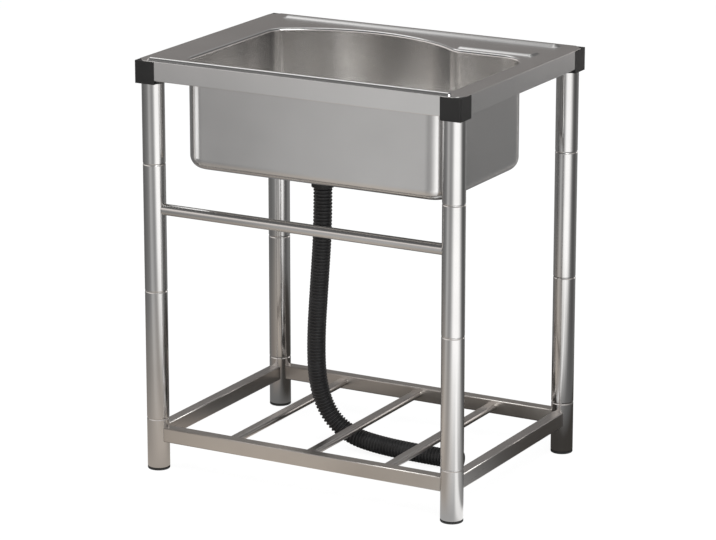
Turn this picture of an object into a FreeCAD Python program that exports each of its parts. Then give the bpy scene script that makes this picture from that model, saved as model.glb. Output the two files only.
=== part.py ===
"""Free-standing sink: pressed stainless top on four jointed legs, towel rail, shelf and drain hose.

Millimetres. +Z is up, +X runs to the right along the front, the front faces -Y.
The origin is on the floor, midway between the four feet.
"""
import FreeCAD
import Part
import Sketcher
import math
import os

Vector = FreeCAD.Vector

doc = FreeCAD.newDocument("portable_sink")

# Driving dimensions

SIZES = {
    # pressed top
    "top_width": 600,
    "top_depth": 450,
    "deck_height": 706,
    "sheet_gauge": 0.8,
    "apron_drop": 33,
    "apron_hem": 5,
    "deck_fold_radius": 3,
    "deck_corner_cut": 16,
    # bowl, placed by the deck strips left around it
    "deck_left": 71,
    "deck_right": 38,
    "deck_front": 26,
    "deck_rear": 60,
    "deck_rear_right": 127,
    "rear_arc_radius": 270,
    "rear_arc_from_right": 322,
    "rear_step_radius": 50,
    "bowl_depth": 181,
    "bowl_corner_radius": 34,
    "bowl_far_corner_radius": 54,
    "bowl_floor_radius": 21,
    "bowl_rim_radius": 5,
    # pressed ridges and the raised tap ledge
    "front_bead_clearance": 1.3,
    "front_bead_radius": 7.2,
    "front_bead_height": 5.5,
    "front_bead_end": 10,
    "rear_ridge_setback": 23,
    "rear_ridge_radius": 18,
    "rear_ridge_height": 4.5,
    "rear_ridge_end": 32,
    "ledge_width": 146,
    "ledge_depth": 36,
    "ledge_height": 3,
    "ledge_edge_radius": 2,
    "ledge_corner_radius": 7,
    "ledge_from_right": 39,
    "ledge_from_rear": 82,
    # corner sockets
    "socket_face": 36.5,
    "socket_height": 38.2,
    "socket_wall": 2,
    "socket_roof": 5,
    "socket_proud": 0.8,
    "socket_fit": 0.15,
    "socket_edge_radius": 2.5,
    # legs
    "leg_diameter": 38,
    "leg_gauge": 0.9,
    "joint_low": 90,
    "joint_mid": 312,
    "joint_high": 530,
    "coupler_length": 56,
    "coupler_gauge": 1.5,
    "coupler_fit": 0.1,
    "collar_gauge": 0.8,
    "collar_recess": 0.5,
    # feet
    "foot_pad_height": 4,
    "foot_pad_edge": 1,
    "foot_gap": 0.3,
    "foot_stem_diameter": 8,
    "foot_stem_length": 34,
    "foot_stem_socket": 2.5,
    "foot_plug_length": 22,
    "foot_plug_fit": 0.1,
    "foot_thread_fit": 0.05,
    # towel rail
    "towel_rail_diameter": 19,
    "towel_rail_gauge": 0.9,
    "towel_rail_height": 453,
    "weld_gap": 0.1,
    # shelf
    "shelf_height": 75,
    "shelf_rail_width": 20,
    "shelf_rail_height": 25,
    "shelf_rail_gauge": 1,
    "shelf_rail_edge": 2,
    "slat_width": 20,
    "slat_height": 10,
    "slat_gauge": 0.8,
    "slat_edge": 3.5,
    "slat_drop": 8,
    "slat_pitch": 147,
    # drain in the bowl floor
    "drain_from_left": 159,
    "drain_from_front": 191,
    "cup_diameter": 68,
    "cup_gauge": 1.2,
    "cup_depth": 24,
    "cup_fit": 0.3,
    "flange_width": 11,
    "flange_gauge": 1.5,
    "gasket_gauge": 1.5,
    "lock_nut_width": 8.7,
    "lock_nut_height": 9,
    "outlet_gauge": 3.5,
    "outlet_length": 22,
    "outlet_flange_width": 4,
    "outlet_flange_gauge": 2,
    "outlet_fit": 0.2,
    # strainer
    "basket_clearance": 2.3,
    "basket_rim_lap": 3.2,
    "basket_gauge": 0.8,
    "basket_gap": 0.2,
    "basket_hole_diameter": 4.4,
    "basket_first_hole_ring": 9.5,
    "basket_hole_ring_pitch": 7,
    "seal_lap": 5.5,
    "seal_gauge": 4.5,
    "seal_gap": 0.3,
    "post_diameter": 6,
    "post_fit": 0.1,
    "post_height": 27,
    "knob_overhang": 6,
    "knob_height": 6,
    # drain hose and its coupling
    "hose_root": 27,
    "hose_rib_height": 2.5,
    "hose_gauge": 1.5,
    "hose_rib_pitch": 6,
    "hose_flange_width": 1.3,
    "hose_flange_gauge": 2,
    "hose_flange_fit": 0.2,
    "hose_washer_gauge": 1.5,
    "hose_nut_gauge": 3.8,
    "hose_nut_lip": 2.5,
    "hose_nut_fit": 0.3,
    "cuff_gauge": 0.85,
    "cuff_length": 30,
    "cuff_lip": 3,
    "cuff_fit": 0.15,
}

sheet = doc.addObject("Spreadsheet::Sheet", "Sizes")
for row, (alias, value) in enumerate(SIZES.items(), start=1):
    sheet.set(f"A{row}", alias)
    sheet.set(f"B{row}", str(value))
    sheet.setAlias(f"B{row}", alias)
doc.recompute()


class Size:
    """A length worked out from the sheet: its formula, and its value in millimetres."""

    def __init__(self, formula, value):
        self.formula = formula
        self.value = value

    def __add__(self, other):
        other = as_size(other)
        return Size(f"({self.formula} + {other.formula})", self.value + other.value)

    def __sub__(self, other):
        other = as_size(other)
        return Size(f"({self.formula} - {other.formula})", self.value - other.value)

    def __mul__(self, other):
        other = as_size(other)
        return Size(f"({self.formula} * {other.formula})", self.value * other.value)

    def __truediv__(self, other):
        other = as_size(other)
        return Size(f"({self.formula} / {other.formula})", self.value / other.value)

    def __neg__(self):
        return Size(f"(-1 * {self.formula})", -self.value)


def as_size(number):
    return number if isinstance(number, Size) else Size(repr(number), float(number))


def root(size):
    return Size(f"sqrt({size.formula})", math.sqrt(size.value))


def cell(alias):
    return Size(f"Sizes.{alias}", float(sheet.get(alias)))


def bind(obj, prop, size):
    obj.setExpression(prop, as_size(size).formula)


# Document helpers

ORIGIN = (-1, 1)


def new_body(label):
    body = doc.addObject("PartDesign::Body", label)
    body.Label = label
    return body


def place(body, x, y, z):
    bind(body, "Placement.Base.x", x)
    bind(body, "Placement.Base.y", y)
    bind(body, "Placement.Base.z", z)


def new_sketch(body, name, role="XY_Plane", offset=0):
    """A sketch on one of the body's own origin planes, moved along the plane's normal by offset."""
    sketch = body.newObject("Sketcher::SketchObject", name)
    plane = next(f for f in body.Origin.OriginFeatures if f.Role == role)
    sketch.AttachmentSupport = [(plane, "")]
    sketch.MapMode = "FlatFace"
    bind(sketch, "AttachmentOffset.Base.z", offset)
    return sketch


def constrain(sketch, kind, *args, size):
    index = sketch.addConstraint(Sketcher.Constraint(kind, *args, size.value))
    sketch.setExpression(f"Constraints[{index}]", size.formula)


def pin_point(sketch, geometry, vertex, x, y):
    constrain(sketch, "DistanceX", *ORIGIN, geometry, vertex, size=as_size(x))
    constrain(sketch, "DistanceY", *ORIGIN, geometry, vertex, size=as_size(y))


def draw_circle(sketch, diameter, x=0, y=0):
    centre = Vector(as_size(x).value, as_size(y).value, 0)
    index = sketch.addGeometry(Part.Circle(centre, Vector(0, 0, 1), diameter.value / 2), False)
    constrain(sketch, "Diameter", index, size=diameter)
    pin_point(sketch, index, 3, x, y)


def draw_outline(sketch, points, bends=None):
    """A closed outline through points. bends gives the side that leaves a point as an arc:
    {index: (radius, turn)}, where turn is +1 for an arc that bends to the left and -1 to the right."""
    bends = bends or {}
    points = [(as_size(x), as_size(y)) for x, y in points]
    first = sketch.GeometryCount
    count = len(points)
    turned = set()
    for i, (x, y) in enumerate(points):
        next_x, next_y = points[(i + 1) % count]
        start = Vector(x.value, y.value, 0)
        end = Vector(next_x.value, next_y.value, 0)
        if i in bends:
            radius, turn = bends[i]
            middle = arc_middle(start, end, radius.value, turn)
            arc = Part.Arc(start, middle, end)
            sketch.addGeometry(arc, False)
            if turn < 0:
                turned.add(i)
        else:
            sketch.addGeometry(Part.LineSegment(start, end), False)
    for i, (x, y) in enumerate(points):
        # A sketch arc always runs to the left, so one that bends to the right is held end first.
        begin_vertex = 2 if i in turned else 1
        before = (i - 1) % count
        end_vertex = 1 if before in turned else 2
        sketch.addConstraint(
            Sketcher.Constraint("Coincident", first + before, end_vertex, first + i, begin_vertex)
        )
        pin_point(sketch, first + i, begin_vertex, x, y)
    for i, (radius, turn) in bends.items():
        constrain(sketch, "Radius", first + i, size=as_size(radius))


def arc_middle(start, end, radius, turn):
    """The middle of the shorter arc from start to end that bends to the left (+1) or right (-1)."""
    chord = end - start
    rise = radius - math.sqrt(max(radius ** 2 - (chord.Length / 2) ** 2, 0))
    outward = Vector(chord.y, -chord.x, 0).normalize() * turn
    return (start + end) / 2 + outward * rise


def draw_rectangle(sketch, x_low, x_high, y_low, y_high):
    draw_outline(sketch, [(x_low, y_low), (x_high, y_low), (x_high, y_high), (x_low, y_high)])


def draw_rounded(sketch, width, height, radius, x=0, y=0):
    """A rectangle with round corners, centred on x, y."""
    x = as_size(x)
    y = as_size(y)
    right = width / 2
    top = height / 2
    points = [
        (x - right + radius, y - top),
        (x + right - radius, y - top),
        (x + right, y - top + radius),
        (x + right, y + top - radius),
        (x + right - radius, y + top),
        (x - right + radius, y + top),
        (x - right, y + top - radius),
        (x - right, y - top + radius),
    ]
    draw_outline(sketch, points, {i: (radius, 1) for i in (1, 3, 5, 7)})


def pad(body, name, sketch, length, midplane=False):
    feature = body.newObject("PartDesign::Pad", name)
    feature.Profile = sketch
    bind(feature, "Length", length)
    feature.Midplane = midplane
    return feature


def pocket(body, name, sketch, length, upward=True, midplane=False):
    """Cuts the sketch out of the body, towards the sketch's normal where upward is true."""
    doc.recompute()
    volume_before = body.Shape.Volume
    feature = body.newObject("PartDesign::Pocket", name)
    feature.Profile = sketch
    bind(feature, "Length", length)
    feature.Reversed = upward
    feature.Midplane = midplane
    doc.recompute()
    assert body.Shape.Volume < volume_before, f"{name} cuts nothing"
    return feature


def turn_profile(body, name, points):
    """Revolves an outline of (radius, height) points about the body's Z axis."""
    sketch = new_sketch(body, f"{name}_profile", "XZ_Plane")
    draw_outline(sketch, points)
    feature = body.newObject("PartDesign::Revolution", name)
    feature.Profile = sketch
    feature.ReferenceAxis = (sketch, ["V_Axis"])
    feature.Angle = 360
    return feature


def edge_names(feature, wanted):
    return [f"Edge{i}" for i, edge in enumerate(feature.Shape.Edges, start=1) if wanted(edge)]


def round_edges(body, name, feature, radius, wanted):
    doc.recompute()
    names = edge_names(feature, wanted)
    assert names, f"{name} finds no edge"
    rounding = body.newObject("PartDesign::Fillet", name)
    rounding.Base = (feature, names)
    bind(rounding, "Radius", radius)
    doc.recompute()
    return rounding


def edge_middle(edge):
    return edge.valueAt((edge.FirstParameter + edge.LastParameter) / 2)


def lies_level(edge, height):
    box = edge.BoundBox
    return abs(box.ZMin - height.value) < 1e-4 and abs(box.ZMax - height.value) < 1e-4


def follows(sketch, edge):
    """True where an edge runs along the sketch's outline, seen from above."""
    middle = edge_middle(edge)
    middle.z = sketch.Shape.BoundBox.ZMin
    return sketch.Shape.distToShape(Part.Vertex(middle))[0] < 1e-3


# Places that several pieces share

half_width = cell("top_width") / 2
half_depth = cell("top_depth") / 2
deck_top = cell("deck_height")
deck_under = deck_top - cell("sheet_gauge")
apron_bottom = deck_top - cell("apron_drop")
floor_top = deck_top - cell("bowl_depth")
floor_under = floor_top - cell("sheet_gauge")

leg_inset = cell("leg_diameter") / 2 + cell("socket_wall")
leg_x = half_width - leg_inset
leg_y = half_depth - leg_inset
leg_bore = cell("leg_diameter") - cell("leg_gauge") * 2

bowl_left = cell("deck_left") - half_width
bowl_right = half_width - cell("deck_right")
bowl_front = cell("deck_front") - half_depth
bowl_rear = half_depth - cell("deck_rear")
bowl_rear_right = half_depth - cell("deck_rear_right")

drain_x = bowl_left + cell("drain_from_left")
drain_y = bowl_front + cell("drain_from_front")

CORNERS = {"front_left": (-1, -1), "front_right": (1, -1), "back_left": (-1, 1), "back_right": (1, 1)}


# Pressed top

def draw_bowl(sketch, outset):
    """The bowl seen from above, its wall moved out by outset. The rear wall is one wide arc, which
    a hollow bend joins to the straight wall in front of the tap ledge."""
    left = bowl_left - outset
    right = bowl_right + outset
    front = bowl_front - outset
    rear_right = bowl_rear_right + outset
    corner = cell("bowl_corner_radius")
    far_corner = cell("bowl_far_corner_radius")
    arc = cell("rear_arc_radius")
    step = cell("rear_step_radius")
    arc_x = bowl_right - cell("rear_arc_from_right")
    arc_y = bowl_rear - arc
    # The bends that meet the wide arc keep their centres, whatever the outset.
    bend_x = bowl_left + corner - arc_x
    bend_y = root((arc - corner) * (arc - corner) - bend_x * bend_x)
    step_y = bowl_rear_right + step - arc_y
    step_x = root((arc + step) * (arc + step) - step_y * step_y)
    to_bend = (arc + outset) / (arc - corner)
    to_step = (arc + outset) / (arc + step)
    points = [
        (bowl_left + corner, front),
        (bowl_right - corner, front),
        (right, bowl_front + corner),
        (right, bowl_rear_right - far_corner),
        (bowl_right - far_corner, rear_right),
        (arc_x + step_x, rear_right),
        (arc_x + step_x * to_step, arc_y + step_y * to_step),
        (arc_x + bend_x * to_bend, arc_y + bend_y * to_bend),
        (left, arc_y + bend_y),
        (left, bowl_front + corner),
    ]
    bends = {i: (corner + outset, 1) for i in (1, 7, 9)}
    bends[3] = (far_corner + outset, 1)
    bends[5] = (step - outset, -1)
    bends[6] = (arc + outset, 1)
    draw_outline(sketch, points, bends)


def draw_capsule(sketch, half_length, radius):
    """Half of a round-ended bar, to be turned about the sketch's own X axis."""
    points = [
        (-half_length - radius, 0),
        (half_length + radius, 0),
        (half_length, radius),
        (-half_length, radius),
    ]
    draw_outline(sketch, points, {1: (radius, 1), 3: (radius, 1)})


def turn_capsule(body, kind, name, y, z, half_length, radius):
    sketch = new_sketch(body, f"{name}_profile", offset=z)
    bind(sketch, "AttachmentOffset.Base.y", y)
    draw_capsule(sketch, half_length, radius)
    feature = body.newObject(kind, name)
    feature.Profile = sketch
    feature.ReferenceAxis = (sketch, ["H_Axis"])
    feature.Angle = 360
    doc.recompute()
    return feature


def draw_deck(sketch, inset):
    """The deck seen from above, with its corners cut off, its edge moved in by inset."""
    right = half_width - inset
    rear = half_depth - inset
    cut = cell("deck_corner_cut") - inset * (2 - math.sqrt(2))
    draw_outline(sketch, [
        (-right + cut, -rear),
        (right - cut, -rear),
        (right, -rear + cut),
        (right, rear - cut),
        (right - cut, rear),
        (-right + cut, rear),
        (-right, rear - cut),
        (-right, -rear + cut),
    ])


def make_sink_top():
    body = new_body("sink_top")
    gauge = cell("sheet_gauge")

    outline = new_sketch(body, "deck_outline", offset=apron_bottom)
    draw_deck(outline, as_size(0))
    pad(body, "deck_block", outline, cell("apron_drop"))

    # Ridges and ledge stand on the deck before it is hollowed, and are hollowed after it.
    bead_radius = cell("front_bead_radius")
    bead_y = bowl_front - cell("bowl_rim_radius") - cell("front_bead_clearance") - bead_radius
    bead_z = deck_top + cell("front_bead_height") - bead_radius
    bead_half = half_width - cell("front_bead_end") - bead_radius
    ridge_y = half_depth - cell("rear_ridge_setback")
    ridge_radius = cell("rear_ridge_radius")
    ridge_z = deck_top + cell("rear_ridge_height") - ridge_radius
    ridge_half = half_width - cell("rear_ridge_end") - ridge_radius
    additive = "PartDesign::Revolution"
    turn_capsule(body, additive, "front_bead", bead_y, bead_z, bead_half, bead_radius)
    turn_capsule(body, additive, "rear_ridge", ridge_y, ridge_z, ridge_half, ridge_radius)
    ledge_width = cell("ledge_width")
    ledge_depth = cell("ledge_depth")
    ledge_corner = cell("ledge_corner_radius")
    ledge_x = half_width - cell("ledge_from_right") - ledge_width / 2
    ledge_y = half_depth - cell("ledge_from_rear") - ledge_depth / 2
    ledge_sketch = new_sketch(body, "ledge_outline", offset=deck_top)
    draw_rounded(ledge_sketch, ledge_width, ledge_depth, ledge_corner, ledge_x, ledge_y)
    ledge = pad(body, "ledge", ledge_sketch, cell("ledge_height"))
    ledge_top = deck_top + cell("ledge_height")
    round_edges(body, "ledge_edges", ledge, cell("ledge_edge_radius"), lambda e: lies_level(e, ledge_top))

    # The sheet is left by hollowing the deck from below, around the bowl. Inner bends are rounded
    # before outer ones, so that the sheet is never cut through at a bend.
    shell_sketch = new_sketch(body, "bowl_outside", offset=floor_under)
    draw_bowl(shell_sketch, gauge)
    pad(body, "bowl_form", shell_sketch, deck_under - floor_under)
    hollow_sketch = new_sketch(body, "under_deck", offset=apron_bottom + gauge)
    draw_deck(hollow_sketch, gauge)
    draw_bowl(hollow_sketch, gauge)
    hollow = pocket(body, "hollow_deck", hollow_sketch, deck_under - apron_bottom - gauge)
    fold_radius = cell("deck_fold_radius")
    hollow = round_edges(
        body, "fold_under", hollow, fold_radius - gauge,
        lambda e: lies_level(e, deck_under) and not follows(shell_sketch, e),
    )
    round_edges(
        body, "fold", hollow, fold_radius, lambda e: lies_level(e, deck_top) and follows(outline, e)
    )
    hem_sketch = new_sketch(body, "hem_outline", offset=apron_bottom)
    draw_deck(hem_sketch, cell("apron_hem"))
    draw_bowl(hem_sketch, gauge)
    pocket(body, "open_hem", hem_sketch, gauge)

    # Inside of the bowl, with the bends at its floor and its rim.
    inside_sketch = new_sketch(body, "bowl_inside", offset=deck_top)
    draw_bowl(inside_sketch, as_size(0))
    bowl = pocket(body, "bowl_cavity", inside_sketch, cell("bowl_depth"), upward=False)
    floor_radius = cell("bowl_floor_radius")
    bowl = round_edges(body, "floor_bend", bowl, floor_radius, lambda e: lies_level(e, floor_top))
    bowl = round_edges(
        body, "floor_bend_under", bowl, floor_radius + gauge, lambda e: lies_level(e, floor_under)
    )
    rim_radius = cell("bowl_rim_radius")
    bowl = round_edges(
        body, "rim_under", bowl, rim_radius - gauge,
        lambda e: lies_level(e, deck_under) and follows(shell_sketch, e),
    )
    round_edges(
        body, "rim", bowl, rim_radius,
        lambda e: lies_level(e, deck_top) and follows(inside_sketch, e),
    )

    # Hollows of the ridges and the ledge.
    subtractive = "PartDesign::Groove"
    turn_capsule(body, subtractive, "front_bead_hollow", bead_y, bead_z, bead_half, bead_radius - gauge)
    turn_capsule(body, subtractive, "rear_ridge_hollow", ridge_y, ridge_z, ridge_half, ridge_radius - gauge)
    ledge_hollow = new_sketch(body, "ledge_hollow_outline", offset=deck_under)
    draw_rounded(
        ledge_hollow, ledge_width - gauge * 2, ledge_depth - gauge * 2, ledge_corner - gauge, ledge_x, ledge_y
    )
    pocket(body, "ledge_hollow", ledge_hollow, cell("ledge_height"))

    # The aprons stop short of the corner sockets.
    notch = cell("socket_face") + cell("socket_fit")
    notch_sketch = new_sketch(body, "corner_notches", offset=apron_bottom)
    for side_x, side_y in CORNERS.values():
        x_edges = sorted(((half_width - notch) * side_x, half_width * side_x), key=lambda s: s.value)
        y_edges = sorted(((half_depth - notch) * side_y, half_depth * side_y), key=lambda s: s.value)
        draw_rectangle(notch_sketch, *x_edges, *y_edges)
    pocket(body, "notches", notch_sketch, deck_under - apron_bottom)

    drain_sketch = new_sketch(body, "drain_hole_outline", offset=floor_under)
    draw_circle(drain_sketch, cell("cup_diameter") + cell("cup_fit") * 2, drain_x, drain_y)
    pocket(body, "drain_hole", drain_sketch, gauge)
    return body


# Corner sockets

def make_socket(corner, side_x, side_y):
    """A black block in the top's corner, with a round sleeve that the leg plugs into."""
    body = new_body(f"corner_socket_{corner}")
    bottom = deck_under - cell("socket_height")
    proud = cell("socket_proud")
    block_sketch = new_sketch(body, "block_outline", offset=bottom)
    outer_x = (half_width + proud) * side_x
    inner_x = (half_width - cell("socket_face")) * side_x
    outer_y = (half_depth + proud) * side_y
    inner_y = (half_depth - cell("socket_face")) * side_y
    x_edges = sorted((outer_x, inner_x), key=lambda s: s.value)
    y_edges = sorted((outer_y, inner_y), key=lambda s: s.value)
    draw_rectangle(block_sketch, *x_edges, *y_edges)
    block = pad(body, "block", block_sketch, cell("socket_height"))

    def is_outer_corner(edge):
        middle = edge_middle(edge)
        upright = edge.BoundBox.ZLength > 1
        return upright and abs(middle.x - outer_x.value) < 0.01 and abs(middle.y - outer_y.value) < 0.01

    round_edges(body, "outer_corner", block, cell("socket_edge_radius"), is_outer_corner)
    sleeve_sketch = new_sketch(body, "sleeve_outline", offset=bottom)
    draw_circle(sleeve_sketch, cell("leg_diameter") + cell("socket_wall") * 2, leg_x * side_x, leg_y * side_y)
    pad(body, "sleeve", sleeve_sketch, cell("socket_height"))
    bore_sketch = new_sketch(body, "bore_outline", offset=bottom)
    draw_circle(bore_sketch, cell("leg_diameter") + cell("socket_fit") * 2, leg_x * side_x, leg_y * side_y)
    pocket(body, "bore", bore_sketch, cell("socket_height") - cell("socket_roof"))
    return body


# Legs

def make_tube(label, x, y, bottom, top, diameter, bore):
    body = new_body(label)
    place(body, x, y, bottom)
    ring = new_sketch(body, "ring")
    draw_circle(ring, diameter)
    draw_circle(ring, bore)
    pad(body, "tube", ring, top - bottom)
    return body


def make_leg(corner, side_x, side_y):
    """Four tube sections, end to end, with a coupler's collar between each two."""
    half_collar = cell("collar_gauge") / 2
    levels = [
        ("bottom", cell("foot_pad_height") + cell("foot_gap"), cell("joint_low") - half_collar),
        ("lower", cell("joint_low") + half_collar, cell("joint_mid") - half_collar),
        ("middle", cell("joint_mid") + half_collar, cell("joint_high") - half_collar),
        ("upper", cell("joint_high") + half_collar, deck_under - cell("socket_roof")),
    ]
    return [
        make_tube(
            f"leg_{level}_{corner}", leg_x * side_x, leg_y * side_y, low, high, cell("leg_diameter"), leg_bore
        )
        for level, low, high in levels
    ]


def make_couplers(level):
    """The four sleeves at one joint height, each with a collar that the tube ends meet."""
    sleeves = []
    sleeve_radius = leg_bore / 2 - cell("coupler_fit")
    bore_radius = sleeve_radius - cell("coupler_gauge")
    collar_radius = cell("leg_diameter") / 2 - cell("collar_recess")
    half_length = cell("coupler_length") / 2
    half_collar = cell("collar_gauge") / 2
    for corner, (side_x, side_y) in CORNERS.items():
        body = new_body(f"leg_coupler_{level}_{corner}")
        place(body, leg_x * side_x, leg_y * side_y, cell(f"joint_{level}"))
        turn_profile(body, "sleeve", [
            (bore_radius, -half_length),
            (sleeve_radius, -half_length),
            (sleeve_radius, -half_collar),
            (collar_radius, -half_collar),
            (collar_radius, half_collar),
            (sleeve_radius, half_collar),
            (sleeve_radius, half_length),
            (bore_radius, half_length),
        ])
        sleeves.append(body)
    group = doc.addObject("Part::Compound", f"leg_couplers_{level}")
    group.Label = f"leg_couplers_{level}"
    group.Links = sleeves
    return group


# Feet

def make_foot(corner, side_x, side_y):
    """A pad on a threaded stem, and the plug in the leg that the stem screws into."""
    x = leg_x * side_x
    y = leg_y * side_y
    pad_radius = cell("leg_diameter") / 2
    edge = cell("foot_pad_edge")
    height = cell("foot_pad_height")
    stem_radius = cell("foot_stem_diameter") / 2
    stem_bottom = height - cell("foot_stem_socket")
    socket_radius = stem_radius + cell("foot_thread_fit")

    foot_pad = new_body(f"foot_pad_{corner}")
    place(foot_pad, x, y, 0)
    turn_profile(foot_pad, "pad", [
        (0, 0),
        (pad_radius - edge, 0),
        (pad_radius, edge),
        (pad_radius, height),
        (socket_radius, height),
        (socket_radius, stem_bottom),
        (0, stem_bottom),
    ])
    stem = new_body(f"foot_stem_{corner}")
    place(stem, x, y, stem_bottom)
    rod = new_sketch(stem, "rod_outline")
    draw_circle(rod, cell("foot_stem_diameter"))
    pad(stem, "rod", rod, cell("foot_stem_length"))
    plug_bottom = height + cell("foot_gap")
    plug = make_tube(
        f"foot_plug_{corner}", x, y, plug_bottom, plug_bottom + cell("foot_plug_length"),
        leg_bore - cell("foot_plug_fit") * 2,
        cell("foot_stem_diameter") + cell("foot_thread_fit") * 2,
    )
    return [foot_pad, stem, plug]


# Towel rail and shelf

def cope_ends(body, along_x, reach):
    """Cuts both ends of a rail to the round of the legs that it is welded to."""
    ends = new_sketch(body, "leg_rounds")
    for side in (-1, 1):
        x = leg_x * side if along_x else as_size(0)
        y = as_size(0) if along_x else leg_y * side
        draw_circle(ends, cell("leg_diameter") + cell("weld_gap") * 2, x, y)
    pocket(body, "coped_ends", ends, reach, midplane=True)


def make_towel_rail():
    body = new_body("towel_rail")
    place(body, 0, -leg_y, cell("towel_rail_height"))
    ring = new_sketch(body, "ring", "YZ_Plane")
    draw_circle(ring, cell("towel_rail_diameter"))
    draw_circle(ring, cell("towel_rail_diameter") - cell("towel_rail_gauge") * 2)
    pad(body, "tube", ring, leg_x * 2, midplane=True)
    cope_ends(body, True, cell("towel_rail_diameter") * 2)
    return body


def draw_box_section(sketch, width, height, edge, gauge):
    draw_rounded(sketch, width, height, edge)
    draw_rounded(sketch, width - gauge * 2, height - gauge * 2, edge - gauge)


def make_shelf_rail(side_name, along_x, x, y):
    body = new_body(f"shelf_rail_{side_name}")
    height = cell("shelf_rail_height")
    place(body, x, y, cell("shelf_height") - height / 2)
    section = new_sketch(body, "section", "YZ_Plane" if along_x else "XZ_Plane")
    draw_box_section(
        section, cell("shelf_rail_width"), height, cell("shelf_rail_edge"), cell("shelf_rail_gauge")
    )
    length = leg_x * 2 if along_x else leg_y * 2
    pad(body, "tube", section, length, midplane=True)
    cope_ends(body, along_x, height * 2)
    return body


def make_slat(name, step):
    """A flat tube from the front rail's inner face to the back rail's."""
    body = new_body(f"shelf_slat_{name}")
    height = cell("slat_height")
    place(body, cell("slat_pitch") * step, 0, cell("shelf_height") - cell("slat_drop") - height / 2)
    section = new_sketch(body, "section", "XZ_Plane")
    draw_box_section(section, cell("slat_width"), height, cell("slat_edge"), cell("slat_gauge"))
    pad(body, "tube", section, leg_y * 2 - cell("shelf_rail_width"), midplane=True)
    return body


# Drain

cup_radius = cell("cup_diameter") / 2
cup_bore = cup_radius - cell("cup_gauge")
flange_radius = cup_radius + cell("flange_width")
flange_under = floor_top + cell("gasket_gauge")
flange_top = flange_under + cell("flange_gauge")
cup_under = floor_under - cell("cup_depth")
cup_floor = cup_under + cell("cup_gauge")
hose_root = cell("hose_root") / 2
hose_crest = hose_root + cell("hose_rib_height")
hose_bore = hose_root - cell("hose_gauge")
hose_flange = hose_root + cell("hose_flange_width")
outlet_radius = hose_flange + cell("hose_flange_fit")
outlet_bore = outlet_radius - cell("outlet_gauge")
outlet_top = cup_floor + cell("outlet_flange_gauge")
outlet_end = cup_under - cell("outlet_length")
washer_under = outlet_end - cell("hose_washer_gauge")
hose_flange_under = washer_under - cell("hose_flange_gauge")
nut_under = hose_flange_under - cell("hose_nut_lip")


def turned_drain_piece(label, points):
    body = new_body(label)
    place(body, drain_x, drain_y, 0)
    turn_profile(body, "turned", points)
    return body


def turned_ring(label, inner, outer, low, high):
    return turned_drain_piece(label, [(inner, low), (outer, low), (outer, high), (inner, high)])


def make_drain():
    hole_radius = cup_radius + cell("cup_fit")
    lock_nut_radius = hole_radius + cell("lock_nut_width")
    gasket_under = floor_under - cell("gasket_gauge")
    gasket_radius = flange_radius - cell("flange_gauge")
    thread_radius = outlet_radius + cell("outlet_fit")
    outlet_flange_radius = outlet_radius + cell("outlet_flange_width")
    nut_radius = thread_radius + cell("hose_nut_gauge")
    nut_hole = hose_root + cell("hose_nut_fit")
    cup = turned_drain_piece("drain_cup", [
        (thread_radius, cup_under),
        (cup_radius, cup_under),
        (cup_radius, flange_under),
        (flange_radius, flange_under),
        (gasket_radius, flange_top),
        (cup_bore, flange_top),
        (cup_bore, cup_floor),
        (thread_radius, cup_floor),
    ])
    outlet = turned_drain_piece("drain_outlet", [
        (outlet_bore, outlet_end),
        (outlet_radius, outlet_end),
        (outlet_radius, cup_floor),
        (outlet_flange_radius, cup_floor),
        (outlet_flange_radius, outlet_top),
        (outlet_bore, outlet_top),
    ])
    nut = turned_drain_piece("hose_nut", [
        (nut_hole, nut_under),
        (nut_radius, nut_under),
        (nut_radius, cup_under),
        (thread_radius, cup_under),
        (thread_radius, hose_flange_under),
        (nut_hole, hose_flange_under),
    ])
    lock_nut_under = gasket_under - cell("lock_nut_height")
    return [
        cup,
        outlet,
        nut,
        turned_ring("flange_gasket", hole_radius, gasket_radius, floor_top, flange_under),
        turned_ring("under_gasket", hole_radius, lock_nut_radius, gasket_under, floor_under),
        turned_ring("drain_lock_nut", hole_radius, lock_nut_radius, lock_nut_under, gasket_under),
        turned_ring("hose_washer", outlet_bore, outlet_radius, washer_under, outlet_end),
    ]


# Strainer

HOLES_IN_RINGS = (8, 14, 20)


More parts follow.
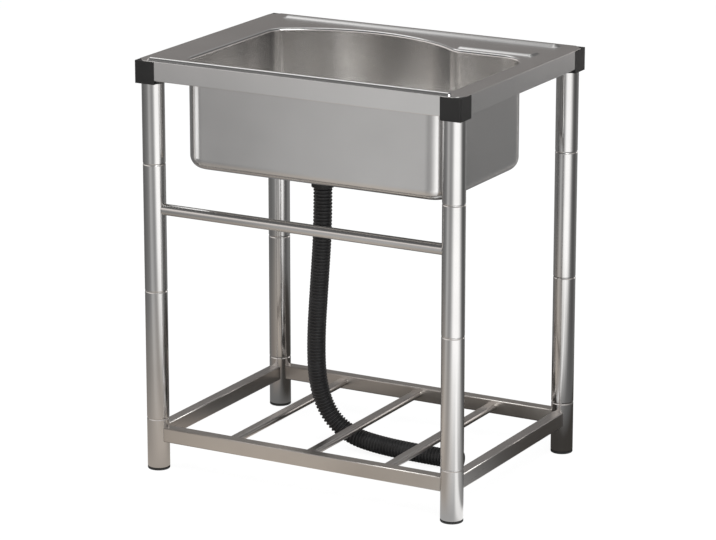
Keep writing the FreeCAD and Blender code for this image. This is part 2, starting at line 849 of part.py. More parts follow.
def make_strainer():
    basket_radius = cup_bore - cell("basket_clearance")
    rim_radius = cup_bore + cell("basket_rim_lap")
    gauge = cell("basket_gauge")
    rim_under = flange_top + cell("basket_gap")
    seal_under = outlet_top + cell("seal_gap")
    basket_under = seal_under + cell("seal_gauge")
    basket_floor = basket_under + gauge
    post_radius = cell("post_diameter") / 2
    post_hole = post_radius + cell("post_fit")
    basket = turned_drain_piece("strainer_basket", [
        (post_hole, basket_under),
        (basket_radius, basket_under),
        (basket_radius, rim_under),
        (rim_radius, rim_under),
        (rim_radius, rim_under + gauge),
        (basket_radius - gauge, rim_under + gauge),
        (basket_radius - gauge, basket_floor),
        (post_hole, basket_floor),
    ])
    for step, count in enumerate(HOLES_IN_RINGS):
        ring_radius = cell("basket_first_hole_ring") + cell("basket_hole_ring_pitch") * step
        hole_sketch = new_sketch(basket, f"hole_{count}", offset=basket_under)
        draw_circle(hole_sketch, cell("basket_hole_diameter"), ring_radius, 0)
        hole = pocket(basket, f"first_hole_{count}", hole_sketch, gauge)
        ring = basket.newObject("PartDesign::PolarPattern", f"hole_ring_{count}")
        ring.Originals = [hole]
        axis = next(f for f in basket.Origin.OriginFeatures if f.Role == "Z_Axis")
        ring.Axis = (axis, [""])
        ring.Angle = 360
        ring.Occurrences = count
        basket.Tip = ring
        doc.recompute()
    post_top = basket_floor + cell("post_height")
    knob_radius = post_radius + cell("knob_overhang")
    knob_under = post_top - cell("knob_height")
    post = turned_drain_piece("strainer_post", [
        (0, seal_under),
        (post_radius, seal_under),
        (post_radius, knob_under),
        (knob_radius, knob_under),
        (knob_radius, post_top),
        (0, post_top),
    ])
    seal_radius = outlet_bore + cell("seal_lap")
    seal = turned_ring("strainer_seal", post_hole, seal_radius, seal_under, basket_under)
    return [basket, post, seal]


# Drain hose

HOSE_ROUTE = [
    Vector(-82, 0, 300),
    Vector(-96, 12, 195),
    Vector(-100, 24, 115),
    Vector(-84, 32, 60),
    Vector(-46, 36, 27),
    Vector(10, 34, 18),
    Vector(95, 28, 17.2),
    Vector(172, 28, 17.2),
]
HOSE_FIRST_DROP = 72
ARC_SHARE = 0.45


def rounded_route(points):
    """Straight runs joined by tangent arcs, each arc as large as its two runs allow."""
    edges = []
    radii = []
    here = points[0]
    for before, corner, after in zip(points, points[1:], points[2:]):
        way_in = (corner - before).normalize()
        way_out = (after - corner).normalize()
        half_turn = way_in.getAngle(way_out) / 2
        trim = ARC_SHARE * min((corner - before).Length, (after - corner).Length)
        radius = trim / math.tan(half_turn)
        arc_start = corner - way_in * trim
        arc_end = corner + way_out * trim
        to_centre = (way_out - way_in).normalize()
        arc_middle_point = corner + to_centre * (radius / math.cos(half_turn) - radius)
        edges.append(Part.LineSegment(here, arc_start).toShape())
        edges.append(Part.Arc(arc_start, arc_middle_point, arc_end).toShape())
        radii.append(radius)
        here = arc_end
    edges.append(Part.LineSegment(here, points[-1]).toShape())
    return edges, radii


def along_route(edges, distance):
    """The point and direction at a distance along the route."""
    for edge in edges:
        if distance <= edge.Length or edge is edges[-1]:
            parameter = edge.getParameterByLength(min(distance, edge.Length))
            return edge.valueAt(parameter), edge.tangentAt(parameter)
        distance -= edge.Length


def ring_across(edges, distance, radius):
    """A circle square to the route, its X axis kept steady against the Y direction."""
    point, direction = along_route(edges, distance)
    steady = Vector(0, 1, 0) - direction * direction.y
    circle = Part.Circle()
    circle.Center = point
    circle.Axis = direction
    circle.XAxis = steady
    circle.Radius = radius
    return Part.Wire([circle.toShape()])


def make_hose():
    """A corrugated tube with its bore: a flange under the nut, a plain neck, then ribs to the end."""
    start = Vector(drain_x.value, drain_y.value, washer_under.value)
    edges, radii = rounded_route([start, start - Vector(0, 0, HOSE_FIRST_DROP)] + HOSE_ROUTE)
    length = sum(edge.Length for edge in edges)
    print("hose arc radii", [round(r) for r in radii], "length", round(length, 1))
    root = hose_root.value
    crest = hose_crest.value
    bore = hose_bore.value
    flange = hose_flange.value
    pitch = cell("hose_rib_pitch").value
    flange_end = cell("hose_flange_gauge").value
    neck_end = flange_end + cell("hose_nut_lip").value
    rib_count = int((length - neck_end) / pitch)
    ribs_start = length - rib_count * pitch
    third = pitch / 3
    sixth = pitch / 6
    stations = [(0, flange), (flange_end - sixth / 2, flange), (flange_end, root)]
    for rib in range(rib_count):
        foot = ribs_start + rib * pitch
        stations += [
            (foot, root),
            (foot + third, root),
            (foot + third + sixth, crest),
            (foot + third * 2 + sixth, crest),
        ]
    stations.append((length, root))
    outside = Part.makeLoft([ring_across(edges, s, r) for s, r in stations], True, True)
    bore_stations = [0] + [ribs_start + rib * pitch for rib in range(rib_count)] + [length]
    inside = Part.makeLoft([ring_across(edges, s, bore) for s in bore_stations], True, True)
    hose = doc.addObject("Part::Feature", "drain_hose")
    hose.Label = "drain_hose"
    hose.Shape = outside.cut(inside)
    # The section's mean over one pitch: a third at the root, a third at the crest, a third sloping.
    sloping = (root ** 2 + root * crest + crest ** 2) / 3
    section = math.pi * ((root ** 2 + crest ** 2 + sloping) / 3 - bore ** 2)
    volume = round(hose.Shape.Volume)
    print("hose ribs", rib_count, "volume", volume, "section times length", round(section * length))
    return hose


def make_cuff():
    """A plain sleeve over the hose's free end."""
    end = HOSE_ROUTE[-1]
    body = new_body("hose_cuff")
    body.Placement = FreeCAD.Placement(end, FreeCAD.Rotation(Vector(0, 1, 0), 90))
    grip = hose_crest + cell("cuff_fit")
    outer = grip + cell("cuff_gauge")
    lip = cell("cuff_lip")
    back = lip - cell("cuff_length")
    turn_profile(body, "sleeve", [
        (grip, back), (outer, back), (outer, lip), (hose_bore, lip), (hose_bore, 0), (grip, 0)
    ])
    return body


# Build

pieces = [make_sink_top()]
for corner_name, (corner_x, corner_y) in CORNERS.items():
    pieces.append(make_socket(corner_name, corner_x, corner_y))
    pieces.extend(make_leg(corner_name, corner_x, corner_y))
    pieces.extend(make_foot(corner_name, corner_x, corner_y))
pieces.extend(make_couplers(level) for level in ("low", "mid", "high"))
pieces.append(make_towel_rail())
pieces.append(make_shelf_rail("front", True, 0, -leg_y))
pieces.append(make_shelf_rail("back", True, 0, leg_y))
pieces.append(make_shelf_rail("left", False, -leg_x, 0))
pieces.append(make_shelf_rail("right", False, leg_x, 0))
for slat_name, slat_step in (("left", -1), ("middle", 0), ("right", 1)):
    pieces.append(make_slat(slat_name, slat_step))
pieces.extend(make_drain())
pieces.extend(make_strainer())
pieces.append(make_hose())
pieces.append(make_cuff())
doc.recompute()

faults = [o.Name for o in doc.Objects if "Invalid" in o.State or "Error" in o.State]
assert not faults, f"failed objects: {faults}"
for piece in pieces:
    assert not piece.Shape.isNull() and piece.Shape.isValid(), f"bad shape: {piece.Label}"

os.makedirs("parts", exist_ok=True)
for piece in pieces:
    piece.Shape.exportStep(f"parts/{piece.Label}.step")
print(len(pieces), "pieces written")
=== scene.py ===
# %% [markdown]
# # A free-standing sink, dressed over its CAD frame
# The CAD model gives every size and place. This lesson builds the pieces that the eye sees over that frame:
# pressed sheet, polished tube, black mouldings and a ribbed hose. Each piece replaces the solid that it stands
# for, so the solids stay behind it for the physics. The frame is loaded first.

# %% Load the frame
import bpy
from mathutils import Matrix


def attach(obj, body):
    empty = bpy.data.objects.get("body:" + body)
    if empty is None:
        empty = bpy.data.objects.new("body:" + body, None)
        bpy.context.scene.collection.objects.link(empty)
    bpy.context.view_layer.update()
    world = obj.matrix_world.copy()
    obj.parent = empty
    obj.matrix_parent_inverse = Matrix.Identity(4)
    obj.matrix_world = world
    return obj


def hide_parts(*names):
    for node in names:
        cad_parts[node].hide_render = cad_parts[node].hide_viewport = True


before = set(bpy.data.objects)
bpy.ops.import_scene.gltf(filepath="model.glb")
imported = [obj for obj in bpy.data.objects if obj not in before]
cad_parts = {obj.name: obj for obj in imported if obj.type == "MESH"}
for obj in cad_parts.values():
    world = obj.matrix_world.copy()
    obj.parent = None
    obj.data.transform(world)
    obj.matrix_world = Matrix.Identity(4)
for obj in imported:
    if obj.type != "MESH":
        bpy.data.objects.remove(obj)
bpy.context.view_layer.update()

# %% Modules and the unit
import bisect
import math

import bmesh
import bpy
from mathutils import Vector

MM = 0.001
scene = bpy.context.scene
scene.view_settings.view_transform = "Standard"

# %% [markdown]
# ## The camera
# The photographer stood to the right of the front, well back with a long lens, and looked down a little. The
# numbers come from fitting the legs, their joints and the deck's corners in the photograph. A long lens far
# away keeps the legs nearly parallel, so the camera needs no shift.

# %% Camera
LENS_PIXELS = 3498.2
IMAGE_WIDTH = 716
camera_data = bpy.data.cameras.new("camera")
camera_data.sensor_fit = "HORIZONTAL"
camera_data.sensor_width = 36.0
camera_data.lens = LENS_PIXELS / IMAGE_WIDTH * camera_data.sensor_width
camera_data.clip_end = 100.0
camera = bpy.data.objects.new("camera", camera_data)
scene.collection.objects.link(camera)
CAMERA_YAW = math.radians(28.997)
CAMERA_PITCH = math.radians(15.493)
camera.location = (2.7382, -4.9535, 1.9032)
camera.rotation_euler = (math.pi / 2 - CAMERA_PITCH, 0.0, CAMERA_YAW)
scene.camera = camera
print("lens", round(camera_data.lens, 1), "mm")

# %% [markdown]
# ## Finishes
# Stainless steel is a mirror with scratches. What tells one finish from another is the direction of its fine
# lines, how far they blur a reflection, and a slow cloudiness left by rolling and handling. One helper makes
# all the steels: stretched noise gives the lines, a wide noise gives the cloud, and both reach the roughness
# and a very shallow bump. The patterns read object coordinates, so they stay on the metal when it moves.

# %% Steel finishes
def add_node(tree, kind, **values):
    """A node with the given inputs set by name."""
    node = tree.nodes.new(kind)
    for socket, value in values.items():
        node.inputs[socket.replace("_", " ")].default_value = value
    return node


def span(tree, value, start, end, low, high):
    """Carries a value from one span onto another, and holds it at both ends."""
    node = add_node(tree, "ShaderNodeMapRange", From_Min=start, From_Max=end, To_Min=low, To_Max=high)
    tree.links.new(value, node.inputs["Value"])
    return node.outputs["Result"]


NOISE_LOW, NOISE_HIGH = 0.3, 0.7


def spread(tree, noise, low, high):
    """Carries a noise, which keeps to the middle of its span, between two values of a shader input."""
    return span(tree, noise, NOISE_LOW, NOISE_HIGH, low, high)


def mix_by(tree, factor, first, second):
    """Mixes two colours, given as sockets or values, by a factor."""
    node = tree.nodes.new("ShaderNodeMix")
    node.data_type = "RGBA"
    tree.links.new(factor, node.inputs[0])
    for socket, colour in ((node.inputs[6], first), (node.inputs[7], second)):
        if isinstance(colour, tuple):
            socket.default_value = (*colour, 1.0)
        else:
            tree.links.new(colour, socket)
    return node.outputs[2]


def blend_colours(tree, noise, dark, light):
    """Carries a noise between two colours."""
    return mix_by(tree, spread(tree, noise, 0.0, 1.0), dark, light)


LINE_SHARE = 0.6
SCRATCH_DEPTH = 0.0004


def steel(name, dark, light, rough, lines, scratch=0.06):
    """A steel with fine lines; lines gives their count per metre along each axis."""
    finish = bpy.data.materials.new(name)
    finish.use_nodes = True
    tree = finish.node_tree
    shader = tree.nodes["Principled BSDF"]
    shader.inputs["Metallic"].default_value = 1.0
    place = tree.nodes.new("ShaderNodeTexCoord").outputs["Object"]
    stretch = add_node(tree, "ShaderNodeMapping", Scale=lines)
    tree.links.new(place, stretch.inputs["Vector"])
    line_noise = add_node(tree, "ShaderNodeTexNoise", Scale=1.0, Detail=3.0, Roughness=0.6)
    tree.links.new(stretch.outputs["Vector"], line_noise.inputs["Vector"])
    cloud = add_node(tree, "ShaderNodeTexNoise", Scale=7.0, Detail=3.0, Roughness=0.55)
    tree.links.new(place, cloud.inputs["Vector"])
    tree.links.new(blend_colours(tree, cloud.outputs["Fac"], dark, light), shader.inputs["Base Color"])
    both = add_node(tree, "ShaderNodeMath")
    both.operation = "MULTIPLY_ADD"
    both.inputs[1].default_value = LINE_SHARE
    tree.links.new(line_noise.outputs["Fac"], both.inputs[0])
    weigh = add_node(tree, "ShaderNodeMath")
    weigh.operation = "MULTIPLY"
    weigh.inputs[1].default_value = 1 - LINE_SHARE
    tree.links.new(cloud.outputs["Fac"], weigh.inputs[0])
    tree.links.new(weigh.outputs["Value"], both.inputs[2])
    tree.links.new(spread(tree, both.outputs["Value"], *rough), shader.inputs["Roughness"])
    bump = add_node(tree, "ShaderNodeBump", Strength=scratch, Distance=SCRATCH_DEPTH)
    tree.links.new(line_noise.outputs["Fac"], bump.inputs["Height"])
    tree.links.new(bump.outputs["Normal"], shader.inputs["Normal"])
    return finish


pressed_steel = steel(
    "pressed_steel", (0.8, 0.79, 0.78), (0.85, 0.84, 0.83), rough=(0.18, 0.24), lines=(5, 900, 5), scratch=0.004
)
sheet_back = steel(
    "sheet_back", (0.71, 0.7, 0.69), (0.77, 0.76, 0.75), rough=(0.17, 0.25), lines=(5, 900, 900), scratch=0.015
)
TUBE_TONES = (0.63, 0.62, 0.61), (0.69, 0.68, 0.67)
upright_steel = steel(
    "polished_upright_tube", *TUBE_TONES, rough=(0.1, 0.16), lines=(900, 900, 5), scratch=0.03
)
level_steel = steel("polished_level_tube", *TUBE_TONES, rough=(0.13, 0.2), lines=(5, 900, 900), scratch=0.03)
frame_steel_x = steel(
    "satin_frame_across", (0.62, 0.59, 0.56), (0.7, 0.67, 0.635), rough=(0.27, 0.36), lines=(7, 700, 700),
    scratch=0.02,
)
frame_steel_y = steel(
    "satin_frame_deep", (0.61, 0.59, 0.57), (0.69, 0.67, 0.65), rough=(0.25, 0.34), lines=(700, 7, 700),
    scratch=0.02,
)
bright_steel = steel(
    "bright_drawn_steel", (0.64, 0.64, 0.64), (0.71, 0.71, 0.7), rough=(0.14, 0.24), lines=(500, 500, 500)
)
print("steels", [m.name for m in bpy.data.materials if m.use_nodes and "steel" in m.name])

# %% [markdown]
# Below the deck the pressed steel is painted brighter, by its height: painted light on the deep bowl's walls
# and floor. Drawing the bowl deep drags the sheet over the die, and that smooths away its scratches there.

# %% The bowl, painted brighter
def height_at(tree):
    """The height of the place that is shaded."""
    split = tree.nodes.new("ShaderNodeSeparateXYZ")
    tree.links.new(tree.nodes.new("ShaderNodeTexCoord").outputs["Object"], split.inputs["Vector"])
    return split.outputs["Z"]


# Below the lower height the bowl's colour is painted fully brighter, which is painted light, and its scratches
# are gone.
PAINTED_LIGHT_AND_SMOOTH_BELOW, AS_ROLLED_ABOVE = 0.6, 0.672
PAINTED_LIGHT_COLOUR = (0.94, 0.93, 0.915)
tree = pressed_steel.node_tree
shader = tree.nodes["Principled BSDF"]
# The share of painted light in the colour: full at the bowl's floor, none on the deck.
drawn = span(tree, height_at(tree), PAINTED_LIGHT_AND_SMOOTH_BELOW, AS_ROLLED_ABOVE, 1.0, 0.0)
as_rolled = shader.inputs["Base Color"].links[0].from_socket
tree.links.new(mix_by(tree, drawn, as_rolled, PAINTED_LIGHT_COLOUR), shader.inputs["Base Color"])
scratches = next(n for n in tree.nodes if n.type == "BUMP").inputs["Strength"]
smoothed = span(tree, height_at(tree), PAINTED_LIGHT_AND_SMOOTH_BELOW, AS_ROLLED_ABOVE, 0.0, scratches.default_value)
tree.links.new(smoothed, scratches)
print("painted_bright below", round(AS_ROLLED_ABOVE / MM), "mm")

# %% [markdown]
# The black pieces are moulded. A mould is spark-eroded, which leaves a fine even grain, and the plastic cools
# unevenly, which leaves a slow change of gloss. Rubber is the same idea, duller and with a coarser speckle.

# %% Black finishes
GRAIN_DEPTH = 0.0003


def moulding(name, dark, light, rough, grain, depth):
    """A black moulding with a fine grain; grain is its scale per metre."""
    finish = bpy.data.materials.new(name)
    finish.use_nodes = True
    tree = finish.node_tree
    shader = tree.nodes["Principled BSDF"]
    place = tree.nodes.new("ShaderNodeTexCoord").outputs["Object"]
    fine = add_node(tree, "ShaderNodeTexNoise", Scale=grain, Detail=2.0, Roughness=0.6)
    tree.links.new(place, fine.inputs["Vector"])
    slow = add_node(tree, "ShaderNodeTexNoise", Scale=25.0, Detail=3.0, Roughness=0.5)
    tree.links.new(place, slow.inputs["Vector"])
    tree.links.new(blend_colours(tree, slow.outputs["Fac"], dark, light), shader.inputs["Base Color"])
    tree.links.new(spread(tree, slow.outputs["Fac"], *rough), shader.inputs["Roughness"])
    bump = add_node(tree, "ShaderNodeBump", Strength=depth, Distance=GRAIN_DEPTH)
    tree.links.new(fine.outputs["Fac"], bump.inputs["Height"])
    tree.links.new(bump.outputs["Normal"], shader.inputs["Normal"])
    return finish


black_plastic = moulding(
    "black_moulding", (0.008, 0.008, 0.008), (0.013, 0.0127, 0.0124), rough=(0.4, 0.54), grain=1400, depth=0.25
)
hose_plastic = moulding(
    "hose_plastic", (0.014, 0.014, 0.015), (0.026, 0.026, 0.027), rough=(0.32, 0.46), grain=900, depth=0.15
)
black_rubber = moulding(
    "black_rubber", (0.014, 0.014, 0.014), (0.024, 0.024, 0.023), rough=(0.62, 0.8), grain=700, depth=0.4
)
print("blacks", black_plastic.name, hose_plastic.name, black_rubber.name)

# %% [markdown]
# ## From a bmesh to a piece
# Every piece is modelled in millimetres, the unit of its drawing, and scaled to metres once, when its mesh is
# made. The object stays at the origin, as the CAD solids do. Weighted normals keep the flat faces flat beside
# their rounded edges, so a reflection breaks only at the edge.

# %% Make a piece
def make_piece(bm, name, finish, slot, body, *nodes, sheet=0.0, flat=(), back=None):
    """Turns a bmesh in millimetres into a piece that stands for the nodes and rides on the body.

    A sheet is given its thickness behind the surface, with its own finish if back is given. The faces in flat
    are shaded flat, and all others smooth.
    """
    for face in bm.faces:
        face.smooth = True
    for face in flat:
        face.smooth = False
    bmesh.ops.scale(bm, vec=(MM, MM, MM), verts=bm.verts)
    mesh = bpy.data.meshes.new(name)
    bm.to_mesh(mesh)
    bm.free()
    mesh.materials.append(finish)
    piece = bpy.data.objects.new(name, mesh)
    scene.collection.objects.link(piece)
    if sheet:
        wall = piece.modifiers.new("sheet", "SOLIDIFY")
        wall.thickness = sheet * MM
        wall.offset = -1.0
        wall.use_even_offset = True
        if back:
            mesh.materials.append(back)
            wall.material_offset = 1
    even = piece.modifiers.new("even_shading", "WEIGHTED_NORMAL")
    even.keep_sharp = True
    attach(piece, body)
    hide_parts(*nodes)
    print(name, len(mesh.polygons), "faces")
    return piece


# %% [markdown]
# ## The drain hose
# The hose is blown in a chain of moulds, which makes its ribs: flat crests and narrow roots six millimetres
# apart. It leaves the drain straight down, leans on its own stiffness, and turns along the floor behind the
# front right leg. The route's points are the control points of a smooth NURBS line. The ribbed outline is spun
# into a straight hose first, and each ring is then laid square across that line, as one bends a real hose.

# %% The hose's line
DRAIN = (-70, -8)
HOSE_ROUTE = [
    (*DRAIN, 476.7), (*DRAIN, 404.7), (-82, 0, 300), (-96, 12, 195), (-100, 24, 115),
    (-84, 32, 60), (-46, 36, 27), (10, 34, 18), (95, 28, 17.2), (172, 28, 17.2),
]
line_data = bpy.data.curves.new("hose_line", "CURVE")
line_data.dimensions = "3D"
line_data.resolution_u = 32
spline = line_data.splines.new("NURBS")
spline.points.add(len(HOSE_ROUTE) - 1)
for point, (x, y, z) in zip(spline.points, HOSE_ROUTE):
    point.co = (x, y, z, 1.0)
spline.order_u = 3
spline.use_endpoint_u = True
line_holder = bpy.data.objects.new("hose_line", line_data)
scene.collection.objects.link(line_holder)
line_mesh = bpy.data.meshes.new_from_object(line_holder)
hose_line = [v.co.copy() for v in line_mesh.vertices]
bpy.data.objects.remove(line_holder)
travelled = [0.0]
for here, there in zip(hose_line, hose_line[1:]):
    travelled.append(travelled[-1] + (there - here).length)
print("hose line", len(hose_line), "points", round(travelled[-1], 1), "mm")

# %% The straight hose, spun from its ribs
WELD = 0.0005
RIB_PITCH = 6.0
RIB_ROOT, RIB_SIDE, RIB_CREST = 13.5, 15.1, 16.0
RIB_OUTLINE = [
    (1.6, RIB_ROOT), (2.3, RIB_SIDE), (2.9, RIB_CREST), (4.7, RIB_CREST), (5.3, RIB_SIDE), (RIB_PITCH, RIB_ROOT)
]


def spin_round(bm, steps):
    """Spins all that is drawn once round the upright axis."""
    bmesh.ops.spin(
        bm, geom=bm.verts[:] + bm.edges[:], cent=(0, 0, 0), axis=(0, 0, 1), angle=math.tau, steps=steps,
        use_merge=True,
    )


def spin_line(points, steps):
    """Draws a line through (radius, height) points and spins it about the upright axis."""
    bm = bmesh.new()
    tip = bm.verts.new((points[0][0], 0, points[0][1]))
    for radius, height in points[1:]:
        tip = bmesh.ops.extrude_vert_indiv(bm, verts=[tip])["verts"][0]
        tip.co = (radius, 0, height)
    spin_round(bm, steps)
    return bm


rib_count = round(travelled[-1] / RIB_PITCH)
ribs = [(radius, rib * RIB_PITCH + along) for rib in range(rib_count) for along, radius in RIB_OUTLINE]
bm = spin_line([(RIB_ROOT, 0), *ribs], 32)
bmesh.ops.remove_doubles(bm, verts=bm.verts, dist=WELD)
print("ribs", rib_count, "with", len(bm.verts), "points")

# %% The hose, laid along its line
stretch_to_line = travelled[-1] / (rib_count * RIB_PITCH)
for vert in bm.verts:
    distance = min(vert.co.z * stretch_to_line, travelled[-1])
    step = min(max(bisect.bisect_right(travelled, distance) - 1, 0), len(hose_line) - 2)
    share = (distance - travelled[step]) / (travelled[step + 1] - travelled[step])
    middle = hose_line[step].lerp(hose_line[step + 1], share)
    before = hose_line[max(step - 1, 0)]
    after = hose_line[min(step + 2, len(hose_line) - 1)]
    ahead = (after - before).normalized()
    side = (Vector((0, 1, 0)) - ahead * ahead.y).normalized()
    vert.co = middle + side * vert.co.x + ahead.cross(side) * vert.co.y
bmesh.ops.recalc_face_normals(bm, faces=bm.faces)
hose = make_piece(bm, "ribbed_hose", hose_plastic, "hose_plastic", "stand", "drain_hose", sheet=1.2)

# %% [markdown]
# ## Turned pieces
# Most round pieces are turned, drawn or moulded about one axis. Their outline is drawn once as radius and
# height, its corners are bevelled while it is still flat, and a full spin closes it. That gives every rim the
# small radius that catches the light, which a plain cylinder lacks.

# %% Turn an outline
ON_AXIS = 0.01


def turn(outline, centre=(0, 0), steps=48, edge=0.3):
    """Spins an outline of (radius, height) points about an upright axis through the centre."""
    bm = bmesh.new()
    bm.faces.new([bm.verts.new((radius, 0, height)) for radius, height in outline])
    bmesh.ops.bevel(
        bm, geom=[v for v in bm.verts if v.co.x > ON_AXIS], offset=edge, offset_type="OFFSET", segments=3,
        profile=0.5, affect="VERTICES", material=-1, clamp_overlap=True,
    )
    bmesh.ops.delete(bm, geom=bm.faces[:], context="FACES_ONLY")
    for rim in [e for e in bm.edges if all(v.co.x < ON_AXIS for v in e.verts)]:
        bm.edges.remove(rim)
    spin_round(bm, steps)
    bmesh.ops.remove_doubles(bm, verts=bm.verts, dist=WELD)
    bmesh.ops.recalc_face_normals(bm, faces=bm.faces)
    bmesh.ops.translate(bm, vec=(*centre, 0), verts=bm.verts)
    return bm


# %% [markdown]
# The sleeve on the hose's free end is moulded to be pushed into a waste pipe. It is turned upright like the
# rest and then tipped over to lie along the floor.

# %% The hose's end sleeve and the cord's facts
def lay_along_x(bm, start):
    """Tips an upright piece over to lie along X from a point."""
    tip_over = Vector((0, 0, 1)).rotation_difference((1, 0, 0)).to_matrix()
    bmesh.ops.rotate(bm, cent=(0, 0, 0), matrix=tip_over, verts=bm.verts)
    bmesh.ops.translate(bm, vec=start, verts=bm.verts)


bm = turn([(16.15, 0), (17, 0), (17, 30), (12, 30), (12, 27), (16.15, 27)], steps=40, edge=0.25)
lay_along_x(bm, (145, 28, 17.2))
end_sleeve = make_piece(bm, "hose_end_sleeve", black_plastic, "black_plastic", "stand", "hose_cuff")
print("cord", round(travelled[-1]), "mm of 32 mm hose")

# %% [markdown]
# ## The pressed top
# One sheet of stainless steel is pressed into deck, bowl and aprons, and its thickness shows only at its cut
# edges. So it is modelled as a single surface, the side that is seen, and the sheet's thickness is put behind
# it by a modifier. The bowl's plan is drawn by one point that travels along it, straight or swept round a
# centre. The rear wall is a wide arc, and a hollow bend turns it forward to leave room for the tap ledge.

# %% The bowl's outline
DECK = 706
BOWL_FLOOR = 525
BOWL_LEFT, BOWL_RIGHT, BOWL_FRONT, BOWL_STEP = -229, 262, -199, 98
FRONT_CORNER, STEP_CORNER, REAR_CORNER, BEND_RADIUS = 40, 54, 34, 50
REAR_RADIUS, (REAR_X, REAR_Y) = 270, (-60, -105)
SAME_PLACE = 0.01
left_x, right_x = BOWL_LEFT + FRONT_CORNER, BOWL_RIGHT - FRONT_CORNER
front_y, step_y = BOWL_FRONT + FRONT_CORNER, BOWL_STEP - STEP_CORNER
bend_y, bend_reach = BOWL_STEP + BEND_RADIUS, REAR_RADIUS + BEND_RADIUS
bend_turn = math.acos((bend_y - REAR_Y) / bend_reach)
bend_x = REAR_X + bend_reach * math.sin(bend_turn)
corner_x, corner_reach = BOWL_LEFT + REAR_CORNER, REAR_RADIUS - REAR_CORNER
corner_turn = math.acos((REAR_X - corner_x) / corner_reach)
corner_y = REAR_Y + corner_reach * math.sin(corner_turn)
BOWL_SWEEPS = [
    ((right_x, BOWL_FRONT), (right_x, front_y), math.pi / 2, 16),
    ((BOWL_RIGHT, step_y), (BOWL_RIGHT - STEP_CORNER, step_y), math.pi / 2, 18),
    ((bend_x, BOWL_STEP), (bend_x, bend_y), -bend_turn, 12),
    (None, (REAR_X, REAR_Y), math.pi / 2 + bend_turn - corner_turn, 36),
    (None, (corner_x, corner_y), corner_turn, 10),
    ((BOWL_LEFT, front_y), (left_x, front_y), math.pi / 2, 16),
]
top = bmesh.new()
start = tip = top.verts.new((left_x, BOWL_FRONT, DECK))
for straight_to, centre, sweep, steps in BOWL_SWEEPS:
    if straight_to:
        tip = bmesh.ops.extrude_vert_indiv(top, verts=[tip])["verts"][0]
        tip.co = (*straight_to, DECK)
    swept = bmesh.ops.spin(top, geom=[tip], cent=(*centre, DECK), axis=(0, 0, 1), angle=sweep, steps=steps)
    tip = next(v for v in swept["geom_last"] if isinstance(v, bmesh.types.BMVert))
print("outline closes within", round((tip.co - start.co).length, 4), "mm")
bmesh.ops.remove_doubles(top, verts=top.verts, dist=SAME_PLACE)
plan_face = bmesh.ops.contextual_create(top, geom=top.edges[:])["faces"]


# %% The bowl's rim
RIM_MARGIN = 7.2
TOUCHING = 0.001


def at_height(bm, height):
    """The edges that lie level at a height."""
    return [e for e in bm.edges if all(abs(v.co.z - height) < TOUCHING for v in e.verts)]


plan_face[0].normal_update()
bmesh.ops.inset_region(top, faces=plan_face, thickness=-RIM_MARGIN, use_boundary=True, use_even_offset=True)
rim_outer = list(plan_face[0].edges)
bmesh.ops.delete(top, geom=plan_face, context="FACES_ONLY")
bowl_outline = [e for e in top.edges if e.is_boundary and e not in rim_outer]
print("bowl outline", len(bowl_outline), "edges, rim", len(top.faces), "faces")

# %% [markdown]
# The walls are the outline pulled straight down, and the floor is the lower loop filled in. A ring inside the
# floor's edge leaves room for the large radius at its foot, and the drain's hole is left open in the middle.

# %% The bowl's walls and floor
FLOOR_MARGIN = 24
DRAIN_HOLE = 34.3
walls = bmesh.ops.extrude_edge_only(top, edges=bowl_outline)["geom"]
wall_feet = [v for v in walls if isinstance(v, bmesh.types.BMVert)]
bmesh.ops.translate(top, vec=(0, 0, BOWL_FLOOR - DECK), verts=wall_feet)
bowl_floor = bmesh.ops.contextual_create(top, geom=at_height(top, BOWL_FLOOR))["faces"]
bowl_floor[0].normal_update()
bmesh.ops.inset_region(
    top, faces=bowl_floor, thickness=FLOOR_MARGIN, use_boundary=True, use_even_offset=True
)
middle_loop = list(bowl_floor[0].edges)
bmesh.ops.delete(top, geom=bowl_floor, context="FACES_ONLY")
drain_hole = bmesh.ops.create_circle(top, segments=48, radius=DRAIN_HOLE)["verts"]
bmesh.ops.translate(top, vec=(*DRAIN, BOWL_FLOOR), verts=drain_hole)
hole_loop = [e for e in top.edges if e.verts[0] in drain_hole and e.verts[1] in drain_hole]
bmesh.ops.triangle_fill(top, edges=middle_loop + hole_loop, use_beauty=True, use_dissolve=False)
print("bowl", len(top.faces), "faces")

# %% [markdown]
# The deck has three things pressed up out of it: a bead along the front that stops drips, a low ridge along the
# back, and the raised ledge that a tap is fitted to. Each is an outline that is inset again and again while it
# rises, so its side swells out of the deck and rounds over at the top. The deck is then filled in between all
# the outlines and its own edge.

# %% Pressed-up bead, ridge and ledge
def press_up(bm, size_x, size_y, radius, centre, swell, segments=8):
    """A rounded outline on the deck, inset and raised by the (inward, height) points of its side."""
    corners = [
        bm.verts.new((centre[0] + size_x / 2 * a, centre[1] + size_y / 2 * b, DECK))
        for a, b in ((-1, -1), (1, -1), (1, 1), (-1, 1))
    ]
    bm.faces.new(corners)
    bmesh.ops.bevel(
        bm, geom=corners, offset=radius, offset_type="OFFSET", segments=segments, profile=0.5,
        affect="VERTICES", material=-1, clamp_overlap=False,
    )
    middle = Vector((*centre, DECK))
    crown = [f for f in bm.faces if (f.calc_center_bounds() - middle).length < SAME_PLACE]
    inward_so_far, height_so_far = 0.0, 0.0
    for inward, height in swell:
        bmesh.ops.inset_region(
            bm, faces=crown, thickness=inward - inward_so_far, depth=height - height_so_far, use_boundary=True,
            use_even_offset=True,
        )
        inward_so_far, height_so_far = inward, height


